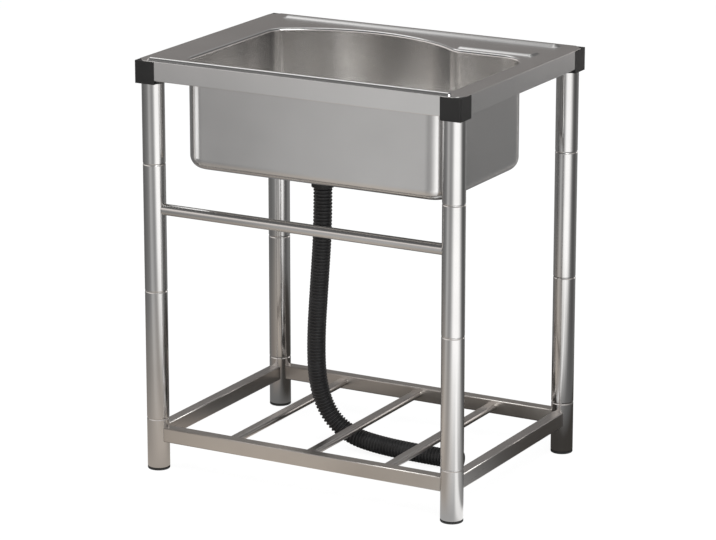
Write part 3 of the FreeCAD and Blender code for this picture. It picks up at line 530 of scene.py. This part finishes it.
press_up(
    top, size_x=562, size_y=14.2, radius=6.6, centre=(0, -215.9),
    swell=[(0.5, 0.5), (1.0, 1.5), (1.6, 2.6), (2.5, 3.8), (3.7, 4.75), (5.1, 5.35), (6.5, 5.5)],
)
press_up(
    top, size_x=540, size_y=34, radius=16, centre=(0, 202),
    swell=[(1.5, 0.1), (3.5, 0.55), (6.0, 1.55), (8.5, 2.75), (11.0, 3.8), (13.5, 4.35), (15.7, 4.5)],
)
press_up(
    top, size_x=144, size_y=36, radius=9, centre=(188.5, 125.3),
    swell=[(0.6, 0.15), (1.6, 0.7), (2.8, 1.35), (4.0, 2.0), (5.2, 2.55), (6.6, 2.9), (8.0, 3.0)],
)
print("with bead, ridge and ledge", len(top.faces), "faces")

# %% [markdown]
# The deck's own outline is a rectangle with its corners cut off for the black sockets. It is folded down into
# aprons, which end in a narrow hem, and the aprons stop short of the sockets.

# %% The deck and its aprons
HALF_X, HALF_Y, CUT = 300, 225, 16
FOLD_MARGIN, APRON, HEM = 1.8, 33, 5
deck_outline = [
    (HALF_X - CUT, -HALF_Y), (HALF_X, CUT - HALF_Y), (HALF_X, HALF_Y - CUT), (HALF_X - CUT, HALF_Y),
    (CUT - HALF_X, HALF_Y), (-HALF_X, HALF_Y - CUT), (-HALF_X, CUT - HALF_Y), (CUT - HALF_X, -HALF_Y),
]
deck = top.faces.new([top.verts.new((x, y, DECK)) for x, y in deck_outline])
deck.normal_update()
bmesh.ops.inset_region(top, faces=[deck], thickness=FOLD_MARGIN, use_boundary=True, use_even_offset=True)
bmesh.ops.delete(top, geom=[deck], context="FACES_ONLY")
open_edges = [e for e in at_height(top, DECK) if e.is_boundary]
outer_x, outer_y = HALF_X - SAME_PLACE, HALF_Y - SAME_PLACE
deck_edge = [e for e in open_edges if all(abs(v.co.x) > outer_x or abs(v.co.y) > outer_y for v in e.verts)]
bmesh.ops.triangle_fill(
    top, edges=[e for e in open_edges if e not in deck_edge], use_beauty=True, use_dissolve=False
)
apron = bmesh.ops.extrude_edge_only(top, edges=deck_edge)["geom"]
apron_feet = [v for v in apron if isinstance(v, bmesh.types.BMVert)]
bmesh.ops.translate(top, vec=(0, 0, -APRON), verts=apron_feet)
hem = bmesh.ops.extrude_edge_only(top, edges=at_height(top, DECK - APRON))["geom"]
hem_edge = [v for v in hem if isinstance(v, bmesh.types.BMVert)]
bmesh.ops.scale(top, vec=((HALF_X - HEM) / HALF_X, (HALF_Y - HEM) / HALF_Y, 1), verts=hem_edge)
print("top", len(top.faces), "faces")

# %% [markdown]
# A press can't make a sharp corner, and the radius tells the size of the tool: small at the bowl's rim and the
# aprons' fold, and large round the floor.

# %% Radii of the press
FLOOR_RADIUS, RIM_RADIUS, FOLD_RADIUS, HEM_RADIUS = 21, 5, 0.7, 1.6
EDGE_X, EDGE_Y = 290, 215
FOLD_ANGLE = 1.0


def round_edges(bm, edges, radius, segments):
    """Rounds folded edges to a radius."""
    bmesh.ops.bevel(
        bm, geom=edges, offset=radius, offset_type="OFFSET", segments=segments, profile=0.5, affect="EDGES",
        material=-1, clamp_overlap=False,
    )


def folded(bm, height):
    """The level edges at a height where two faces meet at a fold."""
    return [e for e in at_height(bm, height) if len(e.link_faces) == 2 and e.calc_face_angle(0) > FOLD_ANGLE]


def at_edge(vert):
    """Whether a point lies in the folded edge round the deck."""
    return abs(vert.co.x) > EDGE_X or abs(vert.co.y) > EDGE_Y


bmesh.ops.recalc_face_normals(top, faces=top.faces)
round_edges(top, folded(top, BOWL_FLOOR), FLOOR_RADIUS, 12)
round_edges(top, [e for e in folded(top, DECK) if not at_edge(e.verts[0])], RIM_RADIUS, 8)
round_edges(top, folded(top, DECK), FOLD_RADIUS, 3)
round_edges(top, folded(top, DECK - APRON), HEM_RADIUS, 4)
print("rounded", len(top.faces), "faces")

# %% [markdown]
# Beside each socket the skirt of aprons is cut along two planes, and what lies between them is dropped.

# %% Notches for the sockets
NOTCH_X, NOTCH_Y, NOTCH_TOP = 263.3, 188.3, DECK - 2.9
for x, y in ((NOTCH_X, 0), (-NOTCH_X, 0), (0, NOTCH_Y), (0, -NOTCH_Y)):
    skirt = [f for f in top.faces if all(v.co.z < NOTCH_TOP for v in f.verts)]
    skirt = [f for f in skirt if any(at_edge(v) for v in f.verts)]
    parts = skirt + list({e for f in skirt for e in f.edges} | {v for f in skirt for v in f.verts})
    bmesh.ops.bisect_plane(top, geom=parts, plane_co=(x, y, 0), plane_no=(x, y, 0), dist=TOUCHING)
middles = [(f, f.calc_center_median()) for f in top.faces]
corner_skirt = [f for f, m in middles if abs(m.x) > NOTCH_X and abs(m.y) > NOTCH_Y and m.z < NOTCH_TOP]
bmesh.ops.delete(top, geom=corner_skirt, context="FACES")
bmesh.ops.remove_doubles(top, verts=top.verts, dist=TOUCHING)
print("notched", len(top.faces), "faces")

# %% [markdown]
# The whole surface is turned to face outwards before the sheet's thickness goes behind it. The deck and the
# bowl's floor are level, and their faces are shaded flat, so a reflection runs evenly over them.

# %% The finished top
LEVEL = 0.9999
bmesh.ops.recalc_face_normals(top, faces=top.faces)
deck_faces = [f for f in top.faces if abs(f.calc_center_median().z - DECK) < SAME_PLACE]
if max(deck_faces, key=lambda f: f.calc_area()).normal.z < 0:
    bmesh.ops.reverse_faces(top, faces=top.faces)
level = [f for f in top.faces if abs(f.normal.z) > LEVEL]
level = [
    f for f in level if min(abs(f.calc_center_median().z - z) for z in (DECK, BOWL_FLOOR)) < SAME_PLACE
]
make_piece(
    top, "pressed_top", pressed_steel, "pressed_steel", "stand", "sink_top", sheet=0.8, flat=level,
    back=sheet_back,
)

# %% [markdown]
# ## Corner sockets
# A black moulding sits in each cut corner: a block that closes the apron, and a round sleeve that the leg is
# pushed into. The block is a cube whose outer upright edge has the large radius and the others a small one.

# %% Corner sockets
CORNERS = {"front_left": (-1, -1), "front_right": (1, -1), "back_left": (-1, 1), "back_right": (1, 1)}
LEG_X, LEG_Y = 279, 204
LEG_CENTRES = {corner: (LEG_X * x, LEG_Y * y) for corner, (x, y) in CORNERS.items()}
SOCKET_SLEEVE = [(19.15, 667), (21, 667), (21, 704), (19.15, 704)]
SOCKET_SIZE, SOCKET_MIDDLE = (37.3, 37.3, 38.2), (282.15, 207.15, 686.1)
SOCKET_CORNER, SOCKET_EDGE = 2.5, 0.7
PROUD_X, PROUD_Y = HALF_X + 0.7, HALF_Y + 0.7
SQUARE_ANGLE = 1.2


def runs_along(edge, axis):
    """Whether an edge runs along an axis, given as its number."""
    return abs(edge.verts[0].co[axis] - edge.verts[1].co[axis]) > 1


for corner, (side_x, side_y) in CORNERS.items():
    bm = turn(SOCKET_SLEEVE, LEG_CENTRES[corner])
    block = bmesh.ops.create_cube(bm, size=1)["verts"]
    bmesh.ops.scale(bm, vec=SOCKET_SIZE, verts=block)
    middle_x, middle_y, middle_z = SOCKET_MIDDLE
    bmesh.ops.translate(bm, vec=(middle_x * side_x, middle_y * side_y, middle_z), verts=block)
    uprights = [e for e in {e for v in block for e in v.link_edges} if runs_along(e, 2)]
    outer = [e for e in uprights if all(abs(v.co.x) > EDGE_X and abs(v.co.y) > EDGE_Y for v in e.verts)]
    round_edges(bm, outer, SOCKET_CORNER, 5)
    sharp = [e for e in bm.edges if len(e.link_faces) == 2 and e.calc_face_angle(0) > SQUARE_ANGLE]
    proud = [e for e in sharp if any(abs(v.co.x) > PROUD_X or abs(v.co.y) > PROUD_Y for v in e.verts)]
    round_edges(bm, proud, SOCKET_EDGE, 3)
    make_piece(bm, f"socket_{corner}", black_plastic, "black_plastic", "stand", f"corner_socket_{corner}")

# %% [markdown]
# ## Legs
# Each leg is four lengths of thin stainless tube, plugged together over hidden sleeves for transport. Where two
# lengths meet, a fine dark line shows. The tube ends are rolled in a little, which is the taper at both ends of
# the outline. The sleeves stay as the CAD made them and only get their finish.

# %% Legs
TUBE_INNER, TUBE_MOUTH, TUBE_OUTER, ROLL = 18.1, 18.35, 19, 1.5
LEG_LENGTHS = {
    "bottom": (4.3, 89.6), "lower": (90.4, 311.6), "middle": (312.4, 529.6), "upper": (530.4, 700.2),
}
for corner, leg_centre in LEG_CENTRES.items():
    for level, (low, high) in LEG_LENGTHS.items():
        outline = [
            (TUBE_INNER, low), (TUBE_MOUTH, low), (TUBE_OUTER, low + ROLL),
            (TUBE_OUTER, high - ROLL), (TUBE_MOUTH, high), (TUBE_INNER, high),
        ]
        bm = turn(outline, leg_centre, steps=64, edge=0.12)
        make_piece(bm, f"tube_{level}_{corner}", upright_steel, "tube_steel", "stand", f"leg_{level}_{corner}")


def refinish(node, finish):
    """Gives a CAD node that stays as it is its finish."""
    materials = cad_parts[node].data.materials
    materials.clear()
    materials.append(finish)


for level in ("low", "mid", "high"):
    refinish(f"leg_couplers_{level}", upright_steel)

# %% [markdown]
# ## Rails and slats
# The towel rail is a thinner round tube between the front legs. The shelf is a frame of rectangular tube with
# three flat slats across it. All are welded, so their ends run a little way into what carries them. The
# rectangular tubes are cubes with their four long edges rounded as roll forming leaves them.

# %% Towel rail
RAIL_HALF, RAIL_HEIGHT = 262.2, 453
bm = turn([(8.6, -RAIL_HALF), (9.5, -RAIL_HALF), (9.5, RAIL_HALF), (8.6, RAIL_HALF)])
lay_along_x(bm, (0, -LEG_Y, RAIL_HEIGHT))
make_piece(bm, "rail_for_towels", level_steel, "tube_steel", "stand", "towel_rail")


# %% Shelf rails and slats
def bar(size, centre, radius, segments):
    """A bar with its long edges rounded; the longest size is its length."""
    bm = bmesh.new()
    bmesh.ops.create_cube(bm, size=1)
    bmesh.ops.scale(bm, vec=size, verts=bm.verts)
    longest = max(range(3), key=lambda i: size[i])
    round_edges(bm, [e for e in bm.edges if runs_along(e, longest)], radius, segments)
    bmesh.ops.translate(bm, vec=centre, verts=bm.verts)
    return bm


FRAME_WIDE, FRAME_TALL, FRAME_MIDDLE, FRAME_RADIUS, FROM_LEG = 20, 25, 62.5, 2, 17
SLAT_SIZE, SLAT_MIDDLE, SLAT_RADIUS, SLAT_APART = (20, 2 * 194.4, 10), 62, 4.8, 147
for side, sign in (("front", -1), ("back", 1)):
    size = (2 * (LEG_X - FROM_LEG), FRAME_WIDE, FRAME_TALL)
    bm = bar(size, (0, LEG_Y * sign, FRAME_MIDDLE), FRAME_RADIUS, 5)
    make_piece(bm, f"frame_{side}", frame_steel_x, "frame_steel", "stand", f"shelf_rail_{side}")
for side, sign in (("left", -1), ("right", 1)):
    size = (FRAME_WIDE, 2 * (LEG_Y - FROM_LEG), FRAME_TALL)
    bm = bar(size, (LEG_X * sign, 0, FRAME_MIDDLE), FRAME_RADIUS, 5)
    make_piece(bm, f"frame_{side}", frame_steel_y, "frame_steel", "stand", f"shelf_rail_{side}")
for name, x in (("left", -SLAT_APART), ("middle", 0), ("right", SLAT_APART)):
    bm = bar(SLAT_SIZE, (x, 0, SLAT_MIDDLE), SLAT_RADIUS, 8)
    make_piece(bm, f"slat_{name}", frame_steel_y, "frame_steel", "stand", f"shelf_slat_{name}")

# %% [markdown]
# ## Feet
# A black pad with a chamfered edge is all that shows of each foot until it is screwed out. Then its stem shows,
# with a common eight millimetre thread. The stem starts as a plain rod of many rings. Each point is then drawn
# in by how far it lies from the thread's crest, which climbs one pitch with each turn, and both ends are
# chamfered. The plug in the leg stays as the CAD made it.

# %% A threaded stem
STEM_BOTTOM, STEM_TOP, STEM_RADIUS = 1.5, 35.5, 4.0
THREAD_PITCH, THREAD_DEPTH = 1.25, 0.7
RINGS_PER_PITCH = 6


def threaded_stem(centre):
    """A rod with a thread on it, upright on the centre."""
    length = STEM_TOP - STEM_BOTTOM
    ring_count = round(length / THREAD_PITCH * RINGS_PER_PITCH)
    rings = [(STEM_RADIUS, STEM_BOTTOM + length * ring / ring_count) for ring in range(ring_count + 1)]
    bm = spin_line([(0, STEM_BOTTOM), *rings, (0, STEM_TOP)], 24)
    bmesh.ops.remove_doubles(bm, verts=bm.verts, dist=WELD)
    for vert in bm.verts:
        turns = vert.co.z / THREAD_PITCH - math.atan2(vert.co.y, vert.co.x) / math.tau
        from_crest = abs(2 * (turns % 1) - 1)
        from_end = min(vert.co.z - STEM_BOTTOM, STEM_TOP - vert.co.z) / THREAD_PITCH
        vert.co.xy *= 1 - THREAD_DEPTH * max(from_crest, 1 - from_end) / STEM_RADIUS
    bmesh.ops.recalc_face_normals(bm, faces=bm.faces)
    bmesh.ops.translate(bm, vec=(*centre, 0), verts=bm.verts)
    return bm


# %% Feet
PAD_OUTLINE = [(0, 0), (18, 0), (19, 1), (19, 4), (4.05, 4), (4.05, 1.5), (0, 1.5)]
for corner, leg_centre in LEG_CENTRES.items():
    foot = f"foot_{corner}"
    bm = turn(PAD_OUTLINE, leg_centre, edge=0.35)
    make_piece(bm, f"pad_{corner}", black_rubber, "black_plastic", foot, f"foot_pad_{corner}")
    bm = threaded_stem(leg_centre)
    make_piece(bm, f"stem_{corner}", bright_steel, "bright_steel", foot, f"foot_stem_{corner}")
    refinish(f"foot_plug_{corner}", black_plastic)

# %% [markdown]
# ## The drain
# A flanged steel cup drops through the bowl's floor between two gaskets and is pulled tight by a black nut from
# below. A plastic neck screws into it, and the hose hangs on a second nut. All are turned. The two nuts get
# finger grips: every second face of their wall is inset and pushed out.

# %% Drain cup, neck and rings
turned_drain = {
    "drain_cup": ("cup", bright_steel, "bright_steel", [
        (15.2, 500.2), (34, 500.2), (34, 526.5), (45, 526.5),
        (43.5, 528), (32.8, 528), (32.8, 501.4), (15.2, 501.4)]),
    "drain_outlet": ("neck", black_plastic, "black_plastic", [
        (11.5, 478.2), (15, 478.2), (15, 501.4), (19, 501.4), (19, 503.4), (11.5, 503.4)]),
    "flange_gasket": ("upper_gasket", black_rubber, "black_rubber", [
        (34.3, 525), (43.5, 525), (43.5, 526.5), (34.3, 526.5)]),
    "under_gasket": ("lower_gasket", black_rubber, "black_rubber", [
        (34.3, 522.7), (43, 522.7), (43, 524.2), (34.3, 524.2)]),
    "hose_washer": ("neck_washer", black_rubber, "black_rubber", [
        (11.5, 476.7), (15, 476.7), (15, 478.2), (11.5, 478.2)]),
}
for node, (name, finish, slot, outline) in turned_drain.items():
    make_piece(turn(outline, DRAIN, 72), name, finish, slot, "stand", node)


# %% Nuts with grips
GRIP_MARGIN = 0.35


def angle_round_drain(face):
    """The angle at which a face lies round the drain's axis."""
    middle = face.calc_center_median()
    return math.atan2(middle.y - DRAIN[1], middle.x - DRAIN[0])


def add_grips(bm, radius, depth):
    """Pushes every second upright face of the outer wall out to make finger grips."""
    wall = [f for f in bm.faces if abs(f.normal.z) < 0.1 and f.calc_area() > 10]
    wall = [f for f in wall if (f.calc_center_median().xy - Vector(DRAIN)).length > radius - 0.5]
    grips = sorted(wall, key=angle_round_drain)[::2]
    bmesh.ops.inset_individual(bm, faces=grips, thickness=GRIP_MARGIN, depth=depth, use_even_offset=True)
    return len(grips)


lock_nut = turn([(34.3, 513.7), (43, 513.7), (43, 522.7), (34.3, 522.7)], DRAIN, 48)
hose_nut_outline = [(13.8, 472.2), (19, 472.2), (19, 500.2), (15.2, 500.2), (15.2, 474.7), (13.8, 474.7)]
hose_nut = turn(hose_nut_outline, DRAIN, 40)
print("grips", add_grips(lock_nut, 43, 0.7), add_grips(hose_nut, 19, 0.5))
make_piece(lock_nut, "nut_under_bowl", black_plastic, "black_plastic", "stand", "drain_lock_nut")
make_piece(hose_nut, "nut_on_hose", black_plastic, "black_plastic", "stand", "hose_nut")

# %% [markdown]
# ## The strainer
# The basket catches scraps and lifts out by its knob. Its many holes were already drilled in the CAD, so a copy
# of that mesh is merged and kept; the post and its rubber stopper are turned with rounded edges.

# %% Strainer
bm = bmesh.new()
bm.from_mesh(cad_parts["strainer_basket"].data)
bmesh.ops.remove_doubles(bm, verts=bm.verts, dist=1e-6)
bmesh.ops.scale(bm, vec=(1 / MM, 1 / MM, 1 / MM), verts=bm.verts)
bmesh.ops.dissolve_limit(bm, angle_limit=0.01, verts=bm.verts, edges=bm.edges)
make_piece(bm, "basket", bright_steel, "bright_steel", "strainer", "strainer_basket")
post = turn([(0, 503.7), (3, 503.7), (3, 530), (9, 530), (9, 536), (0, 536)], DRAIN, 40, 0.9)
make_piece(post, "lifting_post", bright_steel, "bright_steel", "strainer", "strainer_post")
stopper = turn([(3.1, 503.7), (17, 503.7), (17, 508.2), (3.1, 508.2)], DRAIN, 48, 0.6)
make_piece(stopper, "stopper", black_rubber, "black_rubber", "strainer", "strainer_seal")

# %% [markdown]
# ## Floor and light
# The floor is a plain pale sheet, larger than the view. Light Path tells what kind of ray looks at it. The
# camera and mirrors see mostly white paper, with a little matt paper added that still takes the object's soft
# shadow; all other light falls on plain matt paper.

# %% Floor
def stage_piece(bm, name, material):
    """An object round the stand that is no part of it."""
    mesh = bpy.data.meshes.new(name)
    bm.to_mesh(mesh)
    bm.free()
    mesh.materials.append(material)
    piece = bpy.data.objects.new(name, mesh)
    scene.collection.objects.link(piece)
    return piece


def seen_by_eye(tree):
    """1 for a ray from the camera, a mirror or glass, and 0 for the others."""
    seen = tree.nodes.new("ShaderNodeLightPath")
    factor = seen.outputs["Is Camera Ray"]
    for kind in ("Is Glossy Ray", "Is Transmission Ray"):
        either = add_node(tree, "ShaderNodeMath")
        either.operation = "MAXIMUM"
        tree.links.new(factor, either.inputs[0])
        tree.links.new(seen.outputs[kind], either.inputs[1])
        factor = either.outputs["Value"]
    return factor


paper = bpy.data.materials.new("white_paper")
paper.use_nodes = True
tree = paper.node_tree
tree.nodes.clear()
matt = add_node(tree, "ShaderNodeBsdfDiffuse", Color=(0.9, 0.9, 0.9, 1.0))
white = add_node(tree, "ShaderNodeEmission", Color=(1.0, 1.0, 1.0, 1.0), Strength=0.92)
shaded = add_node(tree, "ShaderNodeBsdfDiffuse", Color=(0.16, 0.16, 0.16, 1.0))
white_and_shadow = tree.nodes.new("ShaderNodeAddShader")
tree.links.new(white.outputs["Emission"], white_and_shadow.inputs[0])
tree.links.new(shaded.outputs["BSDF"], white_and_shadow.inputs[1])
mix = tree.nodes.new("ShaderNodeMixShader")
tree.links.new(seen_by_eye(tree), mix.inputs["Fac"])
tree.links.new(matt.outputs["BSDF"], mix.inputs[1])
tree.links.new(white_and_shadow.outputs["Shader"], mix.inputs[2])
tree.links.new(mix.outputs["Shader"], tree.nodes.new("ShaderNodeOutputMaterial").inputs["Surface"])
FLOOR_REACH = 20
bm = bmesh.new()
bmesh.ops.create_grid(bm, x_segments=1, y_segments=1, size=FLOOR_REACH)
floor = stage_piece(bm, "floor", paper)

# %% [markdown]
# Polished steel shows the room, so a studio is built for it to show. Seen from a camera that looks down, every
# upright face mirrors what lies low round the stand, and every level face what stands high behind it. So a
# shallow dish of grey panels lies round the stand, a wall stands on its edge and a ceiling closes it. Only
# mirrors see them, as if they were outside the picture. The angle round each runs through a colour ramp. On the
# dish, one bright panel to the camera's right between dark ones draws the bright band down every leg.

# %% Panels for the steel to mirror
PANELS = [
    (-180, 0.24), (-113, 0.17), (-84, 0.22), (-68, 0.28), (-61, 0.35), (-54, 0.51), (-46, 0.56), (-36, 0.48),
    (-26, 0.36), (-15, 0.42), (-5, 0.75), (5, 1.3), (13, 1.45), (38, 1.45), (48, 1.2), (60, 0.6), (71, 0.2),
    (85, 0.12), (100, 0.13), (115, 0.22), (135, 0.26), (180, 0.24),
]
LOW_WALL = [
    (-180, 0.215), (-154, 0.235), (-134, 0.75), (-122, 0.95), (-98, 0.95), (-72, 1.05), (-46, 0.9), (-20, 0.7),
    (60, 0.6), (110, 0.25), (180, 0.215),
]
WALL_FOOT = [(-180, 0.1), (108, 0.1), (116, 3.4), (146, 3.4), (154, 0.1), (180, 0.1)]
HIGH_WALL = [
    (-180, 0.4), (-168, 0.4), (-155, 0.25), (-90, 0.2), (-50, 0.16), (0, 0.3), (90, 0.2), (110, 0.12),
    (155, 0.14), (170, 0.35), (180, 0.4),
]
HIGH_BACK = [
    (-180, 0.5), (-176, 0.42), (-164, 0.75), (-150, 1.5), (-138, 1.5), (-112, 0.2), (-90, 0.13), (90, 0.13),
    (150, 0.25), (168, 0.9), (180, 0.5),
]
NEAR = [
    (-180, 0.13), (-150, 0.2), (-119, (0.34, 0.3, 0.27)), (-100, (0.42, 0.38, 0.34)), (-58, (0.6, 0.54, 0.48)),
    (0, (0.42, 0.38, 0.34)), (23, 0.42), (28, 1.1), (33, 1.1), (40, 0.27), (62, 0.17), (106, 0.16), (180, 0.13),
]
WARM = (1.0, 0.945, 0.915)
DISH = [(0.01, 0.002), (0.37, 0.003), (0.6, 0.03), (2.4, 0.38)]
WALL = [(2.4, 0.38), (2.6, 3.0)]
CEILING = [(2.6, 3.0), (0.01, 3.1)]


def angle_ramp(tree, tones, tint=(1.0, 1.0, 1.0)):
    """A colour or a tinted grey for each angle from the camera's side, counted to its right."""
    place = tree.nodes.new("ShaderNodeTexCoord").outputs["Object"]
    turned = add_node(tree, "ShaderNodeMapping", Rotation=(0, 0, math.pi / 2 - CAMERA_YAW))
    angle = tree.nodes.new("ShaderNodeTexGradient")
    angle.gradient_type = "RADIAL"
    ramp = tree.nodes.new("ShaderNodeValToRGB")
    ramp.color_ramp.interpolation = "EASE"
    while len(ramp.color_ramp.elements) < len(tones):
        ramp.color_ramp.elements.new(0.5)
    for element, (degrees, tone) in zip(ramp.color_ramp.elements, tones):
        element.position = 0.5 + degrees / 360
        colour = tone if isinstance(tone, tuple) else [tone * share for share in tint]
        element.color = (*colour, 1.0)
    tree.links.new(place, turned.inputs["Vector"])
    tree.links.new(turned.outputs["Vector"], angle.inputs["Vector"])
    tree.links.new(angle.outputs["Fac"], ramp.inputs["Fac"])
    return ramp.outputs["Color"]


def surround(name, outline, colour, tree):
    """A surface spun round the stand that only mirrors see, glowing in a colour."""
    glow = add_node(tree, "ShaderNodeEmission", Strength=1.0)
    tree.links.new(colour, glow.inputs["Color"])
    tree.links.new(glow.outputs["Emission"], tree.nodes.new("ShaderNodeOutputMaterial").inputs["Surface"])
    piece = stage_piece(spin_line(outline, 96), name, bpy.data.materials[name])
    piece.visible_camera = False
    piece.visible_diffuse = False
    piece.visible_shadow = False
    piece.visible_transmission = False
    print(name, outline[0], "to", outline[-1], "m")


def panel_tree(name):
    """The empty node tree of a new material."""
    material = bpy.data.materials.new(name)
    material.use_nodes = True
    material.node_tree.nodes.clear()
    return material.node_tree


# %% [markdown]
# Close to the stand the dish has tones of its own, warmer on the left, which the shelf and the lowest lengths
# of the legs mirror. A dark patch lies there too, towards the back, as the shade under the stand. The wall's
# upper half differs from its lower half, and one bright panel stands at its foot, behind the stand and to the
# right.

# %% The dish
NEAR_TO, NEAR_END, NEAR_SHARE = 0.38, 1.0, 0.92
SHADE_MIDDLE, SHADE_TO, SHADE_END, SHADE_SHARE = (0.1, 0.3, 0.0), 0.3, 0.4, 0.9
SHADE = (0.05, 0.045, 0.04)


def distance_from(tree, middle):
    """How far the place that is shaded lies from a point."""
    reach = tree.nodes.new("ShaderNodeVectorMath")
    reach.operation = "DISTANCE"
    reach.inputs[1].default_value = middle
    tree.links.new(tree.nodes.new("ShaderNodeTexCoord").outputs["Object"], reach.inputs[0])
    return reach.outputs["Value"]


tree = panel_tree("panel_dish")
near = span(tree, distance_from(tree, (0, 0, 0)), NEAR_TO, NEAR_END, NEAR_SHARE, 0.0)
under = span(tree, distance_from(tree, SHADE_MIDDLE), SHADE_TO, SHADE_END, SHADE_SHARE, 0.0)
dish_colour = mix_by(tree, near, angle_ramp(tree, PANELS), angle_ramp(tree, NEAR))
surround("panel_dish", DISH, mix_by(tree, under, dish_colour, SHADE), tree)

# %% The wall
RISE_FROM, RISE_TO = 1.6, 1.95
FOOT_TO, FOOT_END, FOOT_SHARE = 0.6, 1.1, 0.45
tree = panel_tree("panel_wall")
rise = span(tree, height_at(tree), RISE_FROM, RISE_TO, 0.0, 1.0)
foot = span(tree, height_at(tree), FOOT_TO, FOOT_END, FOOT_SHARE, 0.0)
wall_colour = mix_by(tree, rise, angle_ramp(tree, LOW_WALL, WARM), angle_ramp(tree, HIGH_WALL))
surround("panel_wall", WALL, mix_by(tree, foot, wall_colour, angle_ramp(tree, WALL_FOOT, WARM)), tree)

# %% The ceiling
tree = panel_tree("panel_ceiling")
surround("panel_ceiling", CEILING, angle_ramp(tree, HIGH_BACK), tree)

# %% [markdown]
# The light itself is soft and plain: a pale grey room that the camera and mirrors see as white, and two large
# overhead boxes, the stronger one towards the camera's right. They are weak enough that a colour comes out
# about as bright as it is written. The weaker box is kept out of the mirrors, where it would draw a second line
# along the front edge. A small strip, linked to the pressed top alone as a photographer flags a lamp off the
# rest, draws the bright line down the bowl's left front corner.

# %% Room and lamps
room = bpy.data.worlds.new("room")
room.use_nodes = True
tree = room.node_tree
grey = tree.nodes["Background"]
grey.inputs["Color"].default_value = (0.97, 0.985, 1.0, 1.0)
grey.inputs["Strength"].default_value = 0.5
white = add_node(tree, "ShaderNodeBackground", Color=(1.0, 1.0, 1.0, 1.0), Strength=1.0)
mix = tree.nodes.new("ShaderNodeMixShader")
tree.links.new(seen_by_eye(tree), mix.inputs["Fac"])
tree.links.new(grey.outputs["Background"], mix.inputs[1])
tree.links.new(white.outputs["Background"], mix.inputs[2])
tree.links.new(mix.outputs["Shader"], tree.nodes["World Output"].inputs["Surface"])
scene.world = room


def soft_box(name, place, aim, width, height, watts):
    """An area lamp aimed at a point."""
    data = bpy.data.lights.new(name, "AREA")
    data.shape = "RECTANGLE"
    data.size, data.size_y = width, height
    data.energy = watts
    lamp = bpy.data.objects.new(name, data)
    scene.collection.objects.link(lamp)
    lamp.location = place
    lamp.rotation_euler = (Vector(aim) - Vector(place)).to_track_quat("-Z", "Y").to_euler()
    return lamp


STAND_MIDDLE = (0, 0, 0.4)
soft_box("key_box", place=(1.6, -1.4, 2.6), aim=STAND_MIDDLE, width=1.8, height=1.8, watts=45)
fill_box = soft_box("fill_box", place=(-1.8, -0.6, 2.6), aim=STAND_MIDDLE, width=1.6, height=1.6, watts=22)
fill_box.visible_glossy = False
corner_strip = soft_box(
    "corner_strip", place=(-1.26, -0.73, 0.27), aim=(-0.2, -0.17, 0.27), width=0.6, height=0.34, watts=0.65
)
corner_strip.visible_camera = False
strip_lights = bpy.data.collections.new("strip_lights")
strip_lights.objects.link(bpy.data.objects["pressed_top"])
corner_strip.light_linking.receiver_collection = strip_lights
